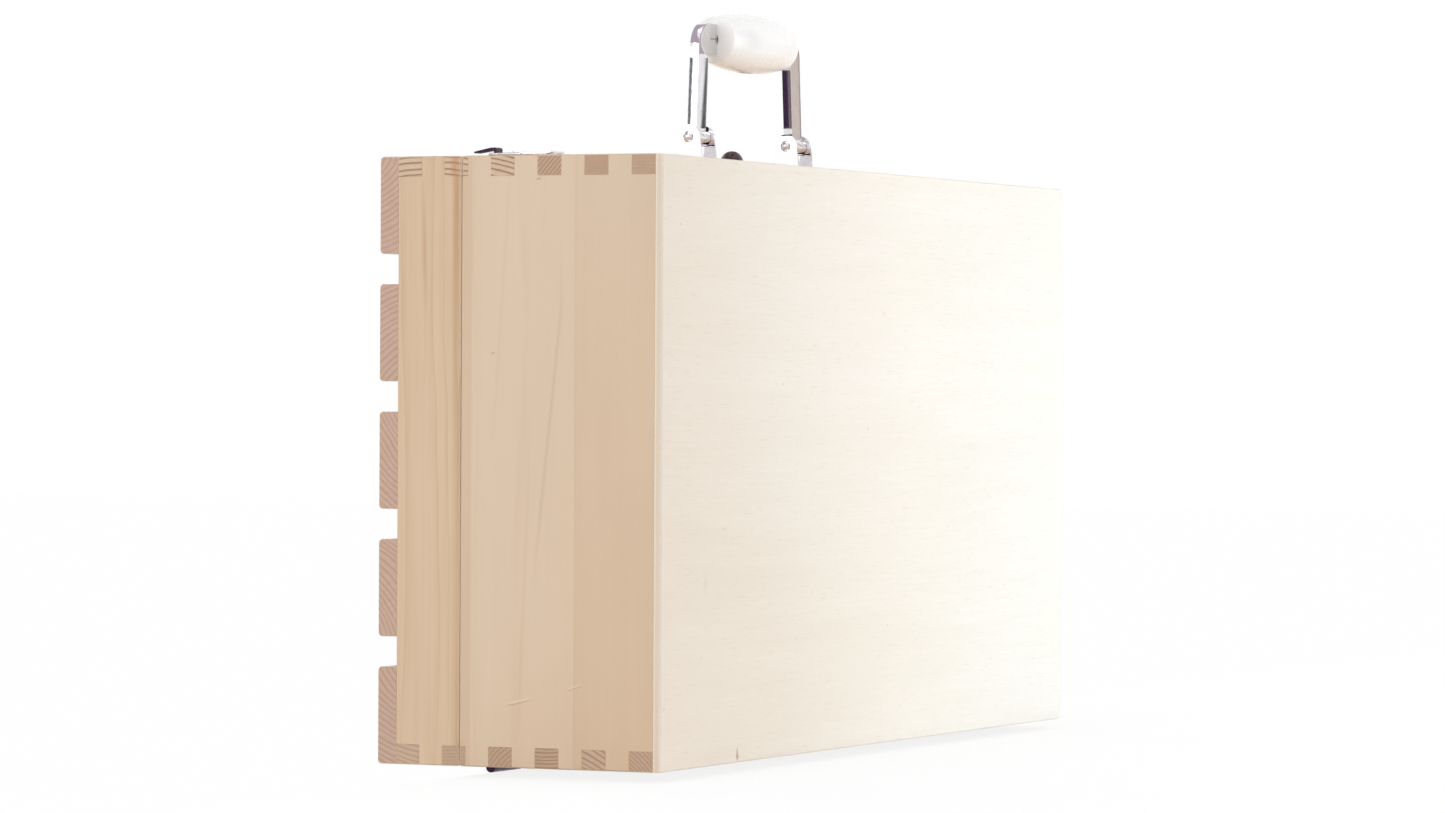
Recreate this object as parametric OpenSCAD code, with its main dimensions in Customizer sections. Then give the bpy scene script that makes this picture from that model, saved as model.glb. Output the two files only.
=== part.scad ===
/* [Case] */
// Outside length of the case, end face to end face
case_l = 540; // [440:5:620]
// Outside height of the case, without its feet and hinges
case_h = 300; // [260:5:340]
// Thickness of the solid boards
board_t = 10; // [8:0.5:12]
// Width of one finger of the corner joints
finger_pitch = 12.7; // [11.5:0.1:14]
// Number of fingers across the depth of the frame
finger_count = 11; // [9:2:13]
// Thickness of the plywood back
back_t = 4; // [3:0.5:6]
// Size of the eased outer edges
edge_ease = 0.6; // [0.3:0.1:1]

/* [Lid] */
// Depth of the lid's own frame
lid_frame_d = 34.3; // [30:0.1:40]
// Gap between the lid's frame and the body's frame
parting_gap = 0.4; // [0.3:0.1:1]
// Depth of the vee planed along the parting line
parting_vee = 1.4; // [0.8:0.1:2]
// Number of slats across the front
slat_count = 5; // [5:2:7]
// Open gap between two slats
slat_gap = 15; // [10:0.5:18]
// Thickness of a slat
slat_t = 10; // [8:0.5:12]
// Radius of a slat's front edges
slat_round = 2; // [1:0.5:3]

/* [Hinges] */
// Length of one hinge
hinge_l = 32; // [28:1:45]
// Distance from the end of the case to the hinge
hinge_inset = 36; // [30:1:60]
// Width of a hinge leaf, from the pin's axis
hinge_leaf_w = 17; // [14:0.5:20]
// Thickness of a hinge leaf
hinge_leaf_t = 1.2; // [1:0.1:1.6]
// Diameter of the hinge knuckle, which the case also stands on
knuckle_d = 5.2; // [4.8:0.1:6]
// Diameter of the hinge pin
hinge_pin_d = 2.4; // [2:0.1:2.8]
// Gap between two knuckles
knuckle_gap = 0.3; // [0.2:0.1:0.5]

/* [Feet] */
// Diameter of a rear foot
foot_d = 14; // [10:1:20]
// Distance from the end of the case to the middle of a foot
foot_inset_x = 95; // [70:1:140]
// Distance from the back face to the middle of a foot
foot_inset_y = 47; // [44:1:60]

/* [Catches] */
// Distance from the end of the case to the middle of a catch
catch_inset = 46; // [36:1:70]
// Width of the catch's plates
catch_w = 16; // [16:0.5:20]
// Length of the catch's base plate
catch_base_l = 31; // [30:1:36]
// Thickness of the catch's plates
catch_plate_t = 0.8; // [0.6:0.1:0.9]
// Height of the lever's pivot above the board
catch_pivot_h = 2.6; // [2.5:0.1:2.8]
// Distance from the parting line to the lever's pivot
catch_pivot_setback = 6.5; // [6.2:0.1:7.5]
// Diameter of the lever's pivot pin
catch_pin_d = 1.5; // [1.3:0.1:1.7]
// Diameter of the wire loop
loop_wire_d = 1.4; // [1.2:0.1:1.5]
// Distance from the lever's pivot back to the loop's pivot
loop_throw = 6; // [5.6:0.1:6.5]
// Distance between the centres of the loop's two arms
loop_w = 12.4; // [12.2:0.1:13]
// Distance from the parting line to the loop's cross bar
loop_reach = 4; // [3.8:0.1:4.6]
// Height of the keeper's hook above the board
keeper_h = 5.8; // [5.6:0.1:6.6]
// Length of the keeper's tapered tongue
keeper_tongue = 11; // [9:0.5:12]

/* [Handle] */
// Distance between the middles of the two brackets
bracket_spacing = 126; // [116:1:150]
// Length of a bracket's base plate
bracket_l = 34; // [32:1:40]
// Width of a bracket at its base
bracket_w = 18.8; // [16:0.2:22]
// Thickness of a bracket's base plate
bracket_t = 1.5; // [1.2:0.1:2]
// Clear width between a bracket's two ears
ear_gap = 17; // [16:0.5:18]
// Thickness of an ear
ear_t = 1.5; // [1.2:0.1:2]
// Radius of the top of an ear
ear_r = 6.3; // [5.5:0.1:7]
// Height of the handle's pivot above the case
pivot_h = 17; // [16:0.5:20]
// Diameter of the rivet that the handle turns on
rivet_d = 4; // [3.5:0.1:4.5]
// Diameter of the rivet's head
rivet_head_d = 6; // [5.6:0.1:7]
// Width of a post, along the case
post_w = 12.5; // [10:0.5:14]
// Thickness of a post, across the case
post_t = 5; // [4.5:0.5:6]
// How far a post leans inwards
post_lean = 3.5; // [0:0.5:5]
// Height of the top of a post above the pivot
post_h = 60; // [56:1:66]
// Outer radius of a post's elbow
elbow_r = 13; // [8:1:16]
// Height of the neck that enters the grip
neck_h = 16; // [12:1:18]
// Length of the grip
grip_l = 86; // [76:1:96]
// Diameter of the grip at its ends
grip_end_d = 24; // [20:0.5:28]
// Diameter of the grip at its middle
grip_mid_d = 31; // [28:0.5:32]
// Diameter of the rod through the grip
grip_rod_d = 5; // [4:0.5:6]

/* [Release button] */
// Diameter of the button
button_d = 12.5; // [10:0.5:14]
// Height of the button above the case
button_h = 12.4; // [11:0.2:14]
// Distance that the button stands in front of the case's middle
button_offset = 7.9; // [7:0.1:9]
// Travel of the button
button_travel = 3; // [2.5:0.1:3.2]
// Diameter of the button's stem
stem_d = 5; // [4:0.5:5.5]
// Wall of the bezel's sleeve
bezel_wall = 1.15; // [1:0.05:1.5]
// Width of the bezel's flange beyond its sleeve
bezel_flange = 1.2; // [1:0.1:2]
// Distance from the parting line to the latch lever's pivot
latch_setback = 10.5; // [10:0.1:11]
// Depth of the latch lever's pivot under the board
latch_drop = 9.2; // [9:0.1:10]
// Width of the latch lever
latch_w = 8; // [7:0.5:9]
// Diameter of the latch lever's pin
latch_pin_d = 2.5; // [2:0.1:3]

/* [Jack] */
// Side of the square block under the spring
spring_block = 100; // [80:5:110]
// Thickness of the block under the spring
spring_block_t = 10; // [8:1:12]
// Outside diameter of the spring
spring_d = 60; // [50:1:66]
// Diameter of the spring's wire
spring_wire_d = 2.6; // [2:0.1:2.8]
// Length of the spring with the lid shut
spring_shut = 34; // [34:1:38]
// Number of turns of the spring
spring_turns = 11; // [8:1:12]
// Diameter of the platform that carries the figure
platform_d = 84; // [70:1:90]
// Thickness of the platform
platform_t = 6; // [5:0.5:8]
// Diameter of the figure's gown at its hem
gown_d = 60; // [50:1:66]
// Height of the figure's gown
gown_h = 30; // [28:1:32]
// Diameter of the collar
collar_d = 42; // [36:1:46]
// Thickness of the collar
collar_t = 4; // [3:0.5:5]
// Radius of the head
head_r = 20; // [18:0.5:21]
// Diameter of an arm
arm_d = 8; // [6:0.5:9]
// Distance between the middles of the two hands
arm_span = 84; // [76:1:88]
// Gap between the hat's tip and the shut lid
hat_gap = 0.6; // [0.4:0.1:2]

/* [Hidden] */
$fn = 48;
eps = 0.01;
run_clear = 0.05;
gap = 0.3;

frame_d = finger_count * finger_pitch;
case_w = back_t + frame_d + slat_t;
back_y = case_w / 2;
frame_back_y = back_y - back_t;
frame_front_y = frame_back_y - frame_d;
parting_y = frame_front_y + lid_frame_d;
base_z = knuckle_d;
top_z = base_z + case_h;
mid_z = base_z + case_h / 2;
end_x = case_l / 2;
slat_w = (case_h - (slat_count - 1) * slat_gap) / slat_count;

hinge_x = end_x - hinge_inset - hinge_l / 2;
hinge_z = knuckle_d / 2;
knuckle_l = (hinge_l - 2 * knuckle_gap) / 3;
catch_x = end_x - catch_inset;
bracket_x = bracket_spacing / 2;
grip_z = post_h - neck_h / 2;
rod_insert = 7;

// Countersunk screws: head diameter, shank diameter, length
hinge_screw = [4.6, 2.4, 9];
catch_screw = [3.6, 1.9, 7];
bracket_screw = [5, 3, 9];
latch_screw = [4, 2.2, 8];

hinge_screw_at = [for (s = [-1, 1]) s * hinge_l * 0.28];
hinge_screw_y = hinge_leaf_w * 0.62;
bracket_screw_x = ear_gap / 2 + ear_t + (bracket_l / 2 - ear_gap / 2 - ear_t) / 2;

catch_base_y = parting_y + 1.2;
catch_pivot_y = parting_y + catch_pivot_setback;
catch_ear_in = 4;
catch_ear_out = 5.2;
catch_screw_inset = 5;
catch_screw_pitch = 8;
catch_back_screw_y = catch_base_y + catch_base_l - catch_screw_inset;
catch_screw_y = [catch_back_screw_y - catch_screw_pitch, catch_back_screw_y];
loop_pivot_y = catch_pivot_y + loop_throw;
loop_z = catch_plate_t + gap / 2 + loop_wire_d / 2 + 0.65;
loop_bar_y = parting_y - loop_reach;
keeper_front = 11;
keeper_y = [loop_bar_y - keeper_front, parting_y - 1.6];
keeper_screw_y = keeper_y[0] + 4.2;
keeper_screw_x = catch_w / 2 - 2.3;

bezel_bore_r = button_d / 2 + run_clear * 2;
bezel_sleeve_r = bezel_bore_r + bezel_wall;
bezel_floor = 1.5;
bezel_flange_t = 2;
button_low = button_travel + 0.3 - bezel_floor + 0.7;
latch_y = parting_y + latch_setback;
latch_z = top_z - board_t - latch_drop;
latch_arm_t = 3;
latch_arm_top = 3.9;
latch_nose_y = -(latch_setback + 8);
latch_plate_t = 1.5;
latch_tail_y = -button_offset - latch_y + 4.2;
stem_gap = 0.3;
strike_z = latch_z - 4;
latch_screw_x = latch_w / 2 + gap + latch_plate_t + 3.7;
strike_web_y = latch_y + latch_nose_y - 5.5;
strike_plate_l = 15;
strike_screw_x = 6.5;
strike_plate_w = 2 * (strike_screw_x + latch_screw[0]);

spring_back_y = frame_back_y - spring_block_t;
platform_y = spring_back_y - spring_shut;
gown_y = platform_y - platform_t;
collar_y = gown_y - gown_h;
head_base_y = collar_y - collar_t;
head_cut = head_r * 0.8;
head_y = head_base_y - head_cut;
hat_y = head_y - head_r * 0.7;
hat_l = hat_y - frame_front_y - hat_gap;
arm_y = gown_y - gown_h * 0.6;

gown_waist_h = gown_h * 0.35;
gown_waist_r = gown_d * 0.37;
gown_neck_r = gown_d * 0.2;

// ---- shared shapes ----

// A screw whose flat head lies in the plane z = 0 and whose shank runs down
module screw(size, clear = 0) {
    head_r0 = size[0] / 2 + clear;
    shank_r = size[1] / 2 + clear;
    cone_h = size[0] / 2 - size[1] / 2;
    translate([0, 0, -cone_h]) cylinder(r1 = shank_r, r2 = head_r0, h = cone_h);
    translate([0, 0, -size[2] - clear]) cylinder(r = shank_r, h = size[2] - cone_h + clear + eps);
}

// A bar along X centred on x = 0, whose section is given in Y and Z by its children
module along_x(l) {
    translate([-l / 2, 0, 0]) rotate([90, 0, 90]) linear_extrude(l) children();
}

// A flat plate with round corners, centred in X and Y, standing on z = 0
module round_plate(l, w, t, r) {
    translate([-l / 2 + r, -w / 2, 0]) cube([l - 2 * r, w, t]);
    translate([-l / 2, -w / 2 + r, 0]) cube([l, w - 2 * r, t]);
    for (x = [-1, 1], y = [-1, 1])
        translate([x * (l / 2 - r), y * (w / 2 - r), 0]) cylinder(r = r, h = t);
}

// A square prism on edge; it takes a bevel of size e off a corner that runs along Y
module edge_prism_y(e) {
    translate([0, 0, 0]) rotate([0, 45, 0]) cube([e * sqrt(2), case_w * 2, e * sqrt(2)], center = true);
}

// The four long corners of the case, lightly broken
module case_corners() {
    for (x = [-1, 1], z = [base_z, top_z]) translate([x * end_x, 0, z]) edge_prism_y(edge_ease);
}

// The shallow vee around the case where the lid meets the body
module parting_vee_cut() {
    side = parting_vee * sqrt(2);
    for (z = [base_z, top_z])
        translate([0, parting_y, z]) rotate([45, 0, 0]) cube([case_l * 2, side, side], center = true);
    for (x = [-1, 1])
        translate([x * end_x, parting_y, mid_z]) rotate([0, 0, 45]) cube([side, side, case_h * 2], center = true);
}

// Every second finger gap, counted from the back, as blocks of height h at one end of a board
module finger_blocks(first, h) {
    for (k = [first:2:finger_count - 1])
        translate([0, frame_back_y - (k + 1) * finger_pitch, 0]) cube([board_t, finger_pitch, h]);
}

// A top or bottom board of the frame, full depth, with its end fingers
module level_board(z) {
    translate([0, 0, z]) difference() {
        translate([-end_x, frame_front_y, 0]) cube([case_l, frame_d, board_t]);
        for (m = [0, 1]) mirror([m, 0, 0])
            translate([end_x - board_t, 0, -eps]) scale_block() finger_blocks(1, board_t + 2 * eps);
    }
}

// Leaves its children as they are, reaching just past the end face
module scale_block() {
    children();
    translate([eps, 0, 0]) children();
}

// A right-hand end board of the frame, full depth, with fingers at its top and bottom
module upright_board() {
    difference() {
        translate([end_x - board_t, frame_front_y, base_z]) cube([board_t, frame_d, case_h]);
        for (z = [base_z - eps, top_z - board_t])
            translate([end_x - board_t - eps, 0, z]) {
                finger_blocks(0, board_t + eps);
                translate([2 * eps, 0, 0]) finger_blocks(0, board_t + eps);
            }
    }
}

// Keeps the body's share or the lid's share of a board of the frame
module body_share() {
    y0 = parting_y + parting_gap / 2;
    difference() {
        intersection() {
            children();
            translate([-case_l, y0, -case_h]) cube([2 * case_l, case_w, 3 * case_h]);
        }
        parting_vee_cut();
        case_corners();
    }
}

module lid_share() {
    y1 = parting_y - parting_gap / 2;
    difference() {
        intersection() {
            children();
            translate([-case_l, y1 - case_w, -case_h]) cube([2 * case_l, case_w, 3 * case_h]);
        }
        parting_vee_cut();
        case_corners();
    }
}

// Screw sets, used for the screws and, with clearance, for their holes
module hinge_screw_set(dir, clear = 0) {
    for (x = [-1, 1], u = hinge_screw_at)
        translate([x * hinge_x + u, parting_y + dir * hinge_screw_y, base_z - hinge_leaf_t])
            rotate([180, 0, 0]) screw(hinge_screw, clear);
}

module catch_base_screw_set(clear = 0) {
    for (x = [-1, 1], y = catch_screw_y)
        translate([x * catch_x, y, top_z + catch_plate_t]) screw(catch_screw, clear);
}

module keeper_screw_set(clear = 0) {
    for (x = [-1, 1], u = [-1, 1])
        translate([x * catch_x + u * keeper_screw_x, keeper_screw_y, top_z + catch_plate_t])
            screw(catch_screw, clear);
}

module bracket_screw_set(clear = 0) {
    for (x = [-1, 1], u = [-1, 1])
        translate([x * bracket_x + u * bracket_screw_x, 0, top_z + bracket_t]) screw(bracket_screw, clear);
}

module latch_screw_set(clear = 0) {
    for (u = [-1, 1])
        translate([u * latch_screw_x, latch_y, top_z - board_t - latch_plate_t])
            rotate([180, 0, 0]) screw(latch_screw, clear);
}

module strike_screw_set(clear = 0) {
    for (u = [-1, 1])
        translate([u * strike_screw_x, strike_web_y - strike_plate_l / 2, top_z - board_t - latch_plate_t])
            rotate([180, 0, 0]) screw(latch_screw, clear);
}

// ---- case body ----

module body_top_board() {
    color("burlywood") difference() {
        body_share() level_board(top_z - board_t);
        translate([0, -button_offset, top_z - board_t - eps])
            cylinder(r = bezel_sleeve_r + run_clear, h = board_t + 2 * eps);
        catch_base_screw_set(run_clear);
        bracket_screw_set(run_clear);
        latch_screw_set(run_clear);
    }
}

module body_bottom_board() {
    color("burlywood") difference() {
        body_share() level_board(base_z);
        hinge_screw_set(1, run_clear);
    }
}

module body_end() {
    color("burlywood") body_share() upright_board();
}

module body_right_end() {
    body_end();
}

module body_left_end() {
    mirror([1, 0, 0]) body_end();
}

module back_panel() {
    color("blanchedalmond") difference() {
        translate([-end_x, frame_back_y, base_z]) cube([case_l, back_t, case_h]);
        case_corners();
        for (z = [base_z, top_z])
            translate([0, back_y, z]) rotate([45, 0, 0])
                cube([case_l * 2, edge_ease * sqrt(2), edge_ease * sqrt(2)], center = true);
        for (x = [-1, 1])
            translate([x * end_x, back_y, mid_z]) rotate([0, 0, 45])
                cube([edge_ease * sqrt(2), edge_ease * sqrt(2), case_h * 2], center = true);
    }
}

// ---- lid ----

module lid_top_rail() {
    color("burlywood") difference() {
        lid_share() level_board(top_z - board_t);
        keeper_screw_set(run_clear);
        strike_screw_set(run_clear);
    }
}

module lid_bottom_rail() {
    color("burlywood") difference() {
        lid_share() level_board(base_z);
        hinge_screw_set(-1, run_clear);
    }
}

module lid_end() {
    color("burlywood") lid_share() upright_board();
}

module lid_right_rail() {
    lid_end();
}

module lid_left_rail() {
    mirror([1, 0, 0]) lid_end();
}

// A slat whose two front edges are round; slats are counted from the bottom
module slat(n) {
    z = base_z + (n - 1) * (slat_w + slat_gap);
    color("wheat") difference() {
        translate([0, frame_front_y - slat_t, z]) along_x(case_l) {
            translate([slat_round, 0]) square([slat_t - slat_round, slat_w]);
            translate([0, slat_round]) square([slat_t, slat_w - 2 * slat_round]);
            for (v = [slat_round, slat_w - slat_round]) translate([slat_round, v]) circle(r = slat_round);
        }
        case_corners();
    }
}

module slat_1() {
    slat(1);
}

module slat_2() {
    slat(2);
}

module slat_3() {
    slat(3);
}

module slat_4() {
    slat(4);
}

module slat_5() {
    slat(5);
}

// ---- hinges ----

// One knuckle of a hinge, joined to its leaf; dir is 1 towards the back and -1 towards the lid
module knuckle(dir, x) {
    translate([x, 0, 0]) {
        translate([0, 0, hinge_z]) rotate([0, 90, 0]) cylinder(d = knuckle_d, h = knuckle_l, center = true);
        translate([-knuckle_l / 2, dir > 0 ? 0 : -knuckle_d, base_z - hinge_leaf_t])
            cube([knuckle_l, knuckle_d, hinge_leaf_t]);
    }
}

module hinge_leaf(dir, knuckles) {
    near_y = knuckle_d / 2 + gap;
    plate_y = dir > 0 ? near_y : -hinge_leaf_w;
    color("dimgray") difference() {
        translate([0, parting_y, 0]) {
            translate([-hinge_l / 2, plate_y, base_z - hinge_leaf_t])
                cube([hinge_l, hinge_leaf_w - near_y, hinge_leaf_t]);
            for (k = knuckles) knuckle(dir, k * (knuckle_l + knuckle_gap));
        }
        translate([-hinge_l, parting_y, hinge_z]) rotate([0, 90, 0])
            cylinder(r = hinge_pin_d / 2 + run_clear, h = 2 * hinge_l);
        translate([-hinge_x, 0, 0]) hinge_screw_set(dir, run_clear);
    }
}

module hinge_body_leaf_right() {
    translate([hinge_x, 0, 0]) hinge_leaf(1, [-1, 1]);
}

module hinge_body_leaf_left() {
    mirror([1, 0, 0]) hinge_body_leaf_right();
}

module hinge_lid_leaf_right() {
    translate([hinge_x, 0, 0]) hinge_leaf(-1, [0]);
}

module hinge_lid_leaf_left() {
    mirror([1, 0, 0]) hinge_lid_leaf_right();
}

module hinge_pins() {
    color("silver") for (x = [-1, 1])
        translate([x * hinge_x, parting_y, hinge_z]) rotate([0, 90, 0])
            cylinder(d = hinge_pin_d, h = hinge_l, center = true);
}

module hinge_body_screws() {
    color("dimgray") hinge_screw_set(1);
}

module hinge_lid_screws() {
    color("dimgray") hinge_screw_set(-1);
}

module rear_feet() {
    edge = 1;
    color("black") for (x = [-1, 1])
        translate([x * (end_x - foot_inset_x), back_y - foot_inset_y, 0]) {
            cylinder(d1 = foot_d - 2 * edge, d2 = foot_d, h = edge);
            translate([0, 0, edge]) cylinder(d = foot_d, h = base_z - edge);
        }
}

// ---- catches ----

module catch_base() {
    ear_r1 = 1.7;
    color("dimgray") difference() {
        union() {
            translate([catch_x, catch_base_y + catch_base_l / 2, top_z])
                round_plate(catch_w, catch_base_l, catch_plate_t, 1.5);
            for (s = [-1, 1])
                translate([catch_x + s * (catch_ear_out + catch_ear_in) / 2, catch_pivot_y, top_z])
                    along_x(catch_ear_out - catch_ear_in) {
                        translate([-ear_r1, catch_plate_t / 2])
                            square([2 * ear_r1, catch_pivot_h - catch_plate_t / 2]);
                        translate([0, catch_pivot_h]) circle(r = ear_r1);
                    }
        }
        translate([catch_x, catch_pivot_y, top_z + catch_pivot_h]) rotate([0, 90, 0])
            cylinder(r = catch_pin_d / 2 + run_clear, h = catch_w, center = true);
        catch_base_screw_set(run_clear);
    }
}

module catch_base_right() {
    catch_base();
}

module catch_base_left() {
    mirror([1, 0, 0]) catch_base();
}

// The lever: a barrel on the pin, a neck that holds the loop and a broad finger plate with a raised tip
module catch_lever() {
    barrel_r = 1.4;
    barrel_w = 7.4;
    neck_low = catch_plate_t + gap / 2;
    neck_top = 3.7;
    neck_end = loop_throw + 2.4;
    plate_end = catch_base_y + catch_base_l - 1.5 - catch_pivot_y;
    color("gainsboro") difference() {
        translate([catch_x, catch_pivot_y, top_z]) {
            translate([0, 0, catch_pivot_h]) rotate([0, 90, 0]) cylinder(r = barrel_r, h = barrel_w, center = true);
            along_x(barrel_w) polygon([
                [0, catch_pivot_h - barrel_r + 0.1], [loop_throw - 2, neck_low], [neck_end, neck_low],
                [neck_end, 3.1], [loop_throw + 1, neck_top], [0, catch_pivot_h + barrel_r - 0.1]]);
            along_x(catch_w) polygon([
                [neck_end - 0.4, 2.1], [plate_end - 3, 2.1], [plate_end, 2.9], [plate_end - 0.7, 3.7],
                [plate_end - 3.4, 3.1], [neck_end - 0.4, 3.1]]);
        }
        translate([catch_x, catch_pivot_y, top_z + catch_pivot_h]) rotate([0, 90, 0])
            cylinder(r = catch_pin_d / 2 + run_clear, h = catch_w, center = true);
        translate([catch_x, loop_pivot_y, top_z + loop_z]) rotate([0, 90, 0])
            cylinder(r = loop_wire_d / 2 + run_clear, h = catch_w, center = true);
    }
}

module catch_lever_right() {
    catch_lever();
}

module catch_lever_left() {
    mirror([1, 0, 0]) catch_lever();
}

// The wire loop: a cross bar, two arms, and ends that turn in to the lever's neck
module catch_loop() {
    arm_l = loop_pivot_y - loop_bar_y;
    end_l = loop_w / 2 - 2.6;
    r = loop_wire_d / 2;
    color("dimgray") translate([catch_x, 0, top_z + loop_z]) {
        translate([0, loop_bar_y, 0]) rotate([0, 90, 0]) cylinder(r = r, h = loop_w, center = true);
        for (s = [-1, 1]) {
            translate([s * loop_w / 2, loop_pivot_y, 0]) rotate([90, 0, 0]) cylinder(r = r, h = arm_l);
            translate([s * (loop_w / 2 - end_l / 2), loop_pivot_y, 0]) rotate([0, 90, 0])
                cylinder(r = r, h = end_l, center = true);
            for (y = [loop_bar_y, loop_pivot_y]) translate([s * loop_w / 2, y, 0]) sphere(r = r);
        }
    }
}

module catch_loop_right() {
    catch_loop();
}

module catch_loop_left() {
    mirror([1, 0, 0]) catch_loop();
}

// The keeper: a plate with a post, and a tapered tongue that hangs over the loop's cross bar
module catch_keeper() {
    hook_w = 7;
    wall_y = loop_bar_y + loop_wire_d / 2 + 0.15;
    post_y = wall_y + 1.4;
    tip_y = wall_y - keeper_tongue;
    tip_h = keeper_h - 2;
    color("dimgray") difference() {
        union() {
            translate([catch_x, (keeper_y[0] + keeper_y[1]) / 2, top_z])
                round_plate(catch_w, keeper_y[1] - keeper_y[0], catch_plate_t, 1.5);
            translate([catch_x, 0, top_z]) along_x(hook_w) polygon([
                [post_y, catch_plate_t / 2], [post_y, keeper_h - 0.7], [post_y - 0.7, keeper_h],
                [wall_y - 2, keeper_h - 0.1], [tip_y, tip_h], [tip_y, tip_h - 0.8],
                [wall_y - 2, keeper_h - 1.4], [wall_y, keeper_h - 1.6], [wall_y, catch_plate_t / 2]]);
        }
        keeper_screw_set(run_clear);
    }
}

module catch_keeper_right() {
    catch_keeper();
}

module catch_keeper_left() {
    mirror([1, 0, 0]) catch_keeper();
}

module catch_pins() {
    color("silver") for (x = [-1, 1])
        translate([x * catch_x, catch_pivot_y, top_z + catch_pivot_h]) rotate([0, 90, 0])
            cylinder(d = catch_pin_d, h = 2 * catch_ear_out, center = true);
}

module catch_base_screws() {
    color("dimgray") catch_base_screw_set();
}

module catch_keeper_screws() {
    color("dimgray") keeper_screw_set();
}

// ---- handle ----

// A bracket: a base plate with two ears that hold the rivet
module handle_bracket() {
    color("silver") translate([bracket_x, 0, top_z]) difference() {
        union() {
            round_plate(bracket_l, bracket_w, bracket_t, 3);
            for (s = [-1, 1])
                translate([s * (ear_gap + ear_t) / 2, 0, 0]) along_x(ear_t) {
                    polygon([
                        [-bracket_w / 2 + 1, bracket_t / 2], [bracket_w / 2 - 1, bracket_t / 2],
                        [ear_r, pivot_h], [-ear_r, pivot_h]]);
                    translate([0, pivot_h]) circle(r = ear_r);
                }
        }
        translate([0, 0, pivot_h]) rotate([0, 90, 0])
            cylinder(r = rivet_d / 2 + run_clear, h = bracket_l, center = true);
        translate([-bracket_x, 0, -top_z]) bracket_screw_set(run_clear);
    }
}

module handle_bracket_right() {
    handle_bracket();
}

module handle_bracket_left() {
    mirror([1, 0, 0]) handle_bracket();
}

module handle_rivets() {
    head_h = 2;
    shank_l = ear_gap + 2 * ear_t;
    color("silver") for (x = [-1, 1])
        translate([x * bracket_x, 0, top_z + pivot_h]) rotate([0, 90, 0]) {
            cylinder(d = rivet_d, h = shank_l, center = true);
            for (m = [0, 1]) mirror([0, 0, m]) translate([0, 0, shank_l / 2]) intersection() {
                cylinder(d = rivet_head_d, h = head_h);
                translate([0, 0, head_h - 3.25]) sphere(r = 3.25);
            }
        }
}

module handle_bracket_screws() {
    color("silver") bracket_screw_set();
}

// A post: a boss on the rivet, a flat bar that leans inwards, a round elbow and a neck into the grip
module handle_post() {
    top_x = post_w / 2 - post_lean;
    neck_x = grip_l / 2 - bracket_x;
    color("silver") translate([bracket_x, 0, top_z + pivot_h]) difference() {
        union() {
            rotate([0, 90, 0]) cylinder(d = 9, h = ear_gap - 2 * gap, center = true);
            translate([0, post_t / 2, 0]) rotate([90, 0, 0]) linear_extrude(post_t) {
                polygon([
                    [-post_w / 2, 0], [post_w / 2, 0], [top_x, post_h - elbow_r],
                    [top_x - elbow_r, post_h - elbow_r], [top_x - elbow_r, post_h], [neck_x, post_h],
                    [neck_x, post_h - neck_h], [top_x - post_w, post_h - neck_h]]);
                intersection() {
                    translate([top_x - elbow_r, post_h - elbow_r]) circle(r = elbow_r);
                    translate([top_x - elbow_r, post_h - elbow_r]) square(elbow_r);
                }
            }
        }
        rotate([0, 90, 0]) cylinder(r = rivet_d / 2 + run_clear, h = bracket_l, center = true);
        translate([neck_x - eps, 0, grip_z]) rotate([0, 90, 0])
            cylinder(r = grip_rod_d / 2 + run_clear, h = rod_insert + 1);
    }
}

module handle_post_right() {
    handle_post();
}

module handle_post_left() {
    mirror([1, 0, 0]) handle_post();
}

// The grip: a barrel that is fuller at its middle
module handle_grip() {
    half = grip_l / 2;
    end_r = grip_end_d / 2;
    rise = (grip_mid_d - grip_end_d) / 2;
    arc_r = (half * half + rise * rise) / (2 * rise);
    steps = 16;
    color("ivory") translate([0, 0, top_z + pivot_h + grip_z]) rotate([0, 90, 0]) difference() {
        rotate_extrude($fn = 64) polygon(concat(
            [[0, -half]],
            [for (i = [0:steps]) let (x = -half + i * grip_l / steps)
                [grip_mid_d / 2 - arc_r + sqrt(arc_r * arc_r - x * x), x]],
            [[0, half]]));
        cylinder(r = grip_rod_d / 2 + run_clear, h = grip_l + 1, center = true);
    }
}

module handle_rod() {
    color("silver") translate([0, 0, top_z + pivot_h + grip_z]) rotate([0, 90, 0])
        cylinder(d = grip_rod_d, h = grip_l + 2 * rod_insert, center = true);
}

// ---- release button and its latch ----

module button_bezel() {
    low = board_t;
    color("silver") translate([0, -button_offset, top_z]) difference() {
        union() {
            translate([0, 0, -low]) cylinder(r = bezel_sleeve_r, h = low + eps);
            cylinder(r = bezel_sleeve_r + bezel_flange, h = bezel_flange_t);
        }
        translate([0, 0, -low + bezel_floor]) cylinder(r = bezel_bore_r, h = low + bezel_flange_t);
        translate([0, 0, -low - eps]) cylinder(r = stem_d / 2 + 2 * run_clear, h = low);
    }
}

// The button: a dome on a skirt, and a stem with a round end that reaches the latch lever
module release_button() {
    r = button_d / 2;
    skirt_low = -board_t + bezel_floor + 2 * button_travel;
    stem_low = -board_t - latch_drop + latch_arm_top + stem_gap;
    color("black") translate([0, -button_offset, top_z]) {
        translate([0, 0, skirt_low]) cylinder(r = r, h = button_h - r - skirt_low);
        translate([0, 0, button_h - r]) intersection() {
            sphere(r = r);
            cylinder(r = r + 1, h = r);
        }
        translate([0, 0, stem_low + stem_d / 2]) {
            cylinder(d = stem_d, h = skirt_low - stem_low);
            sphere(d = stem_d);
        }
    }
}

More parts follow.
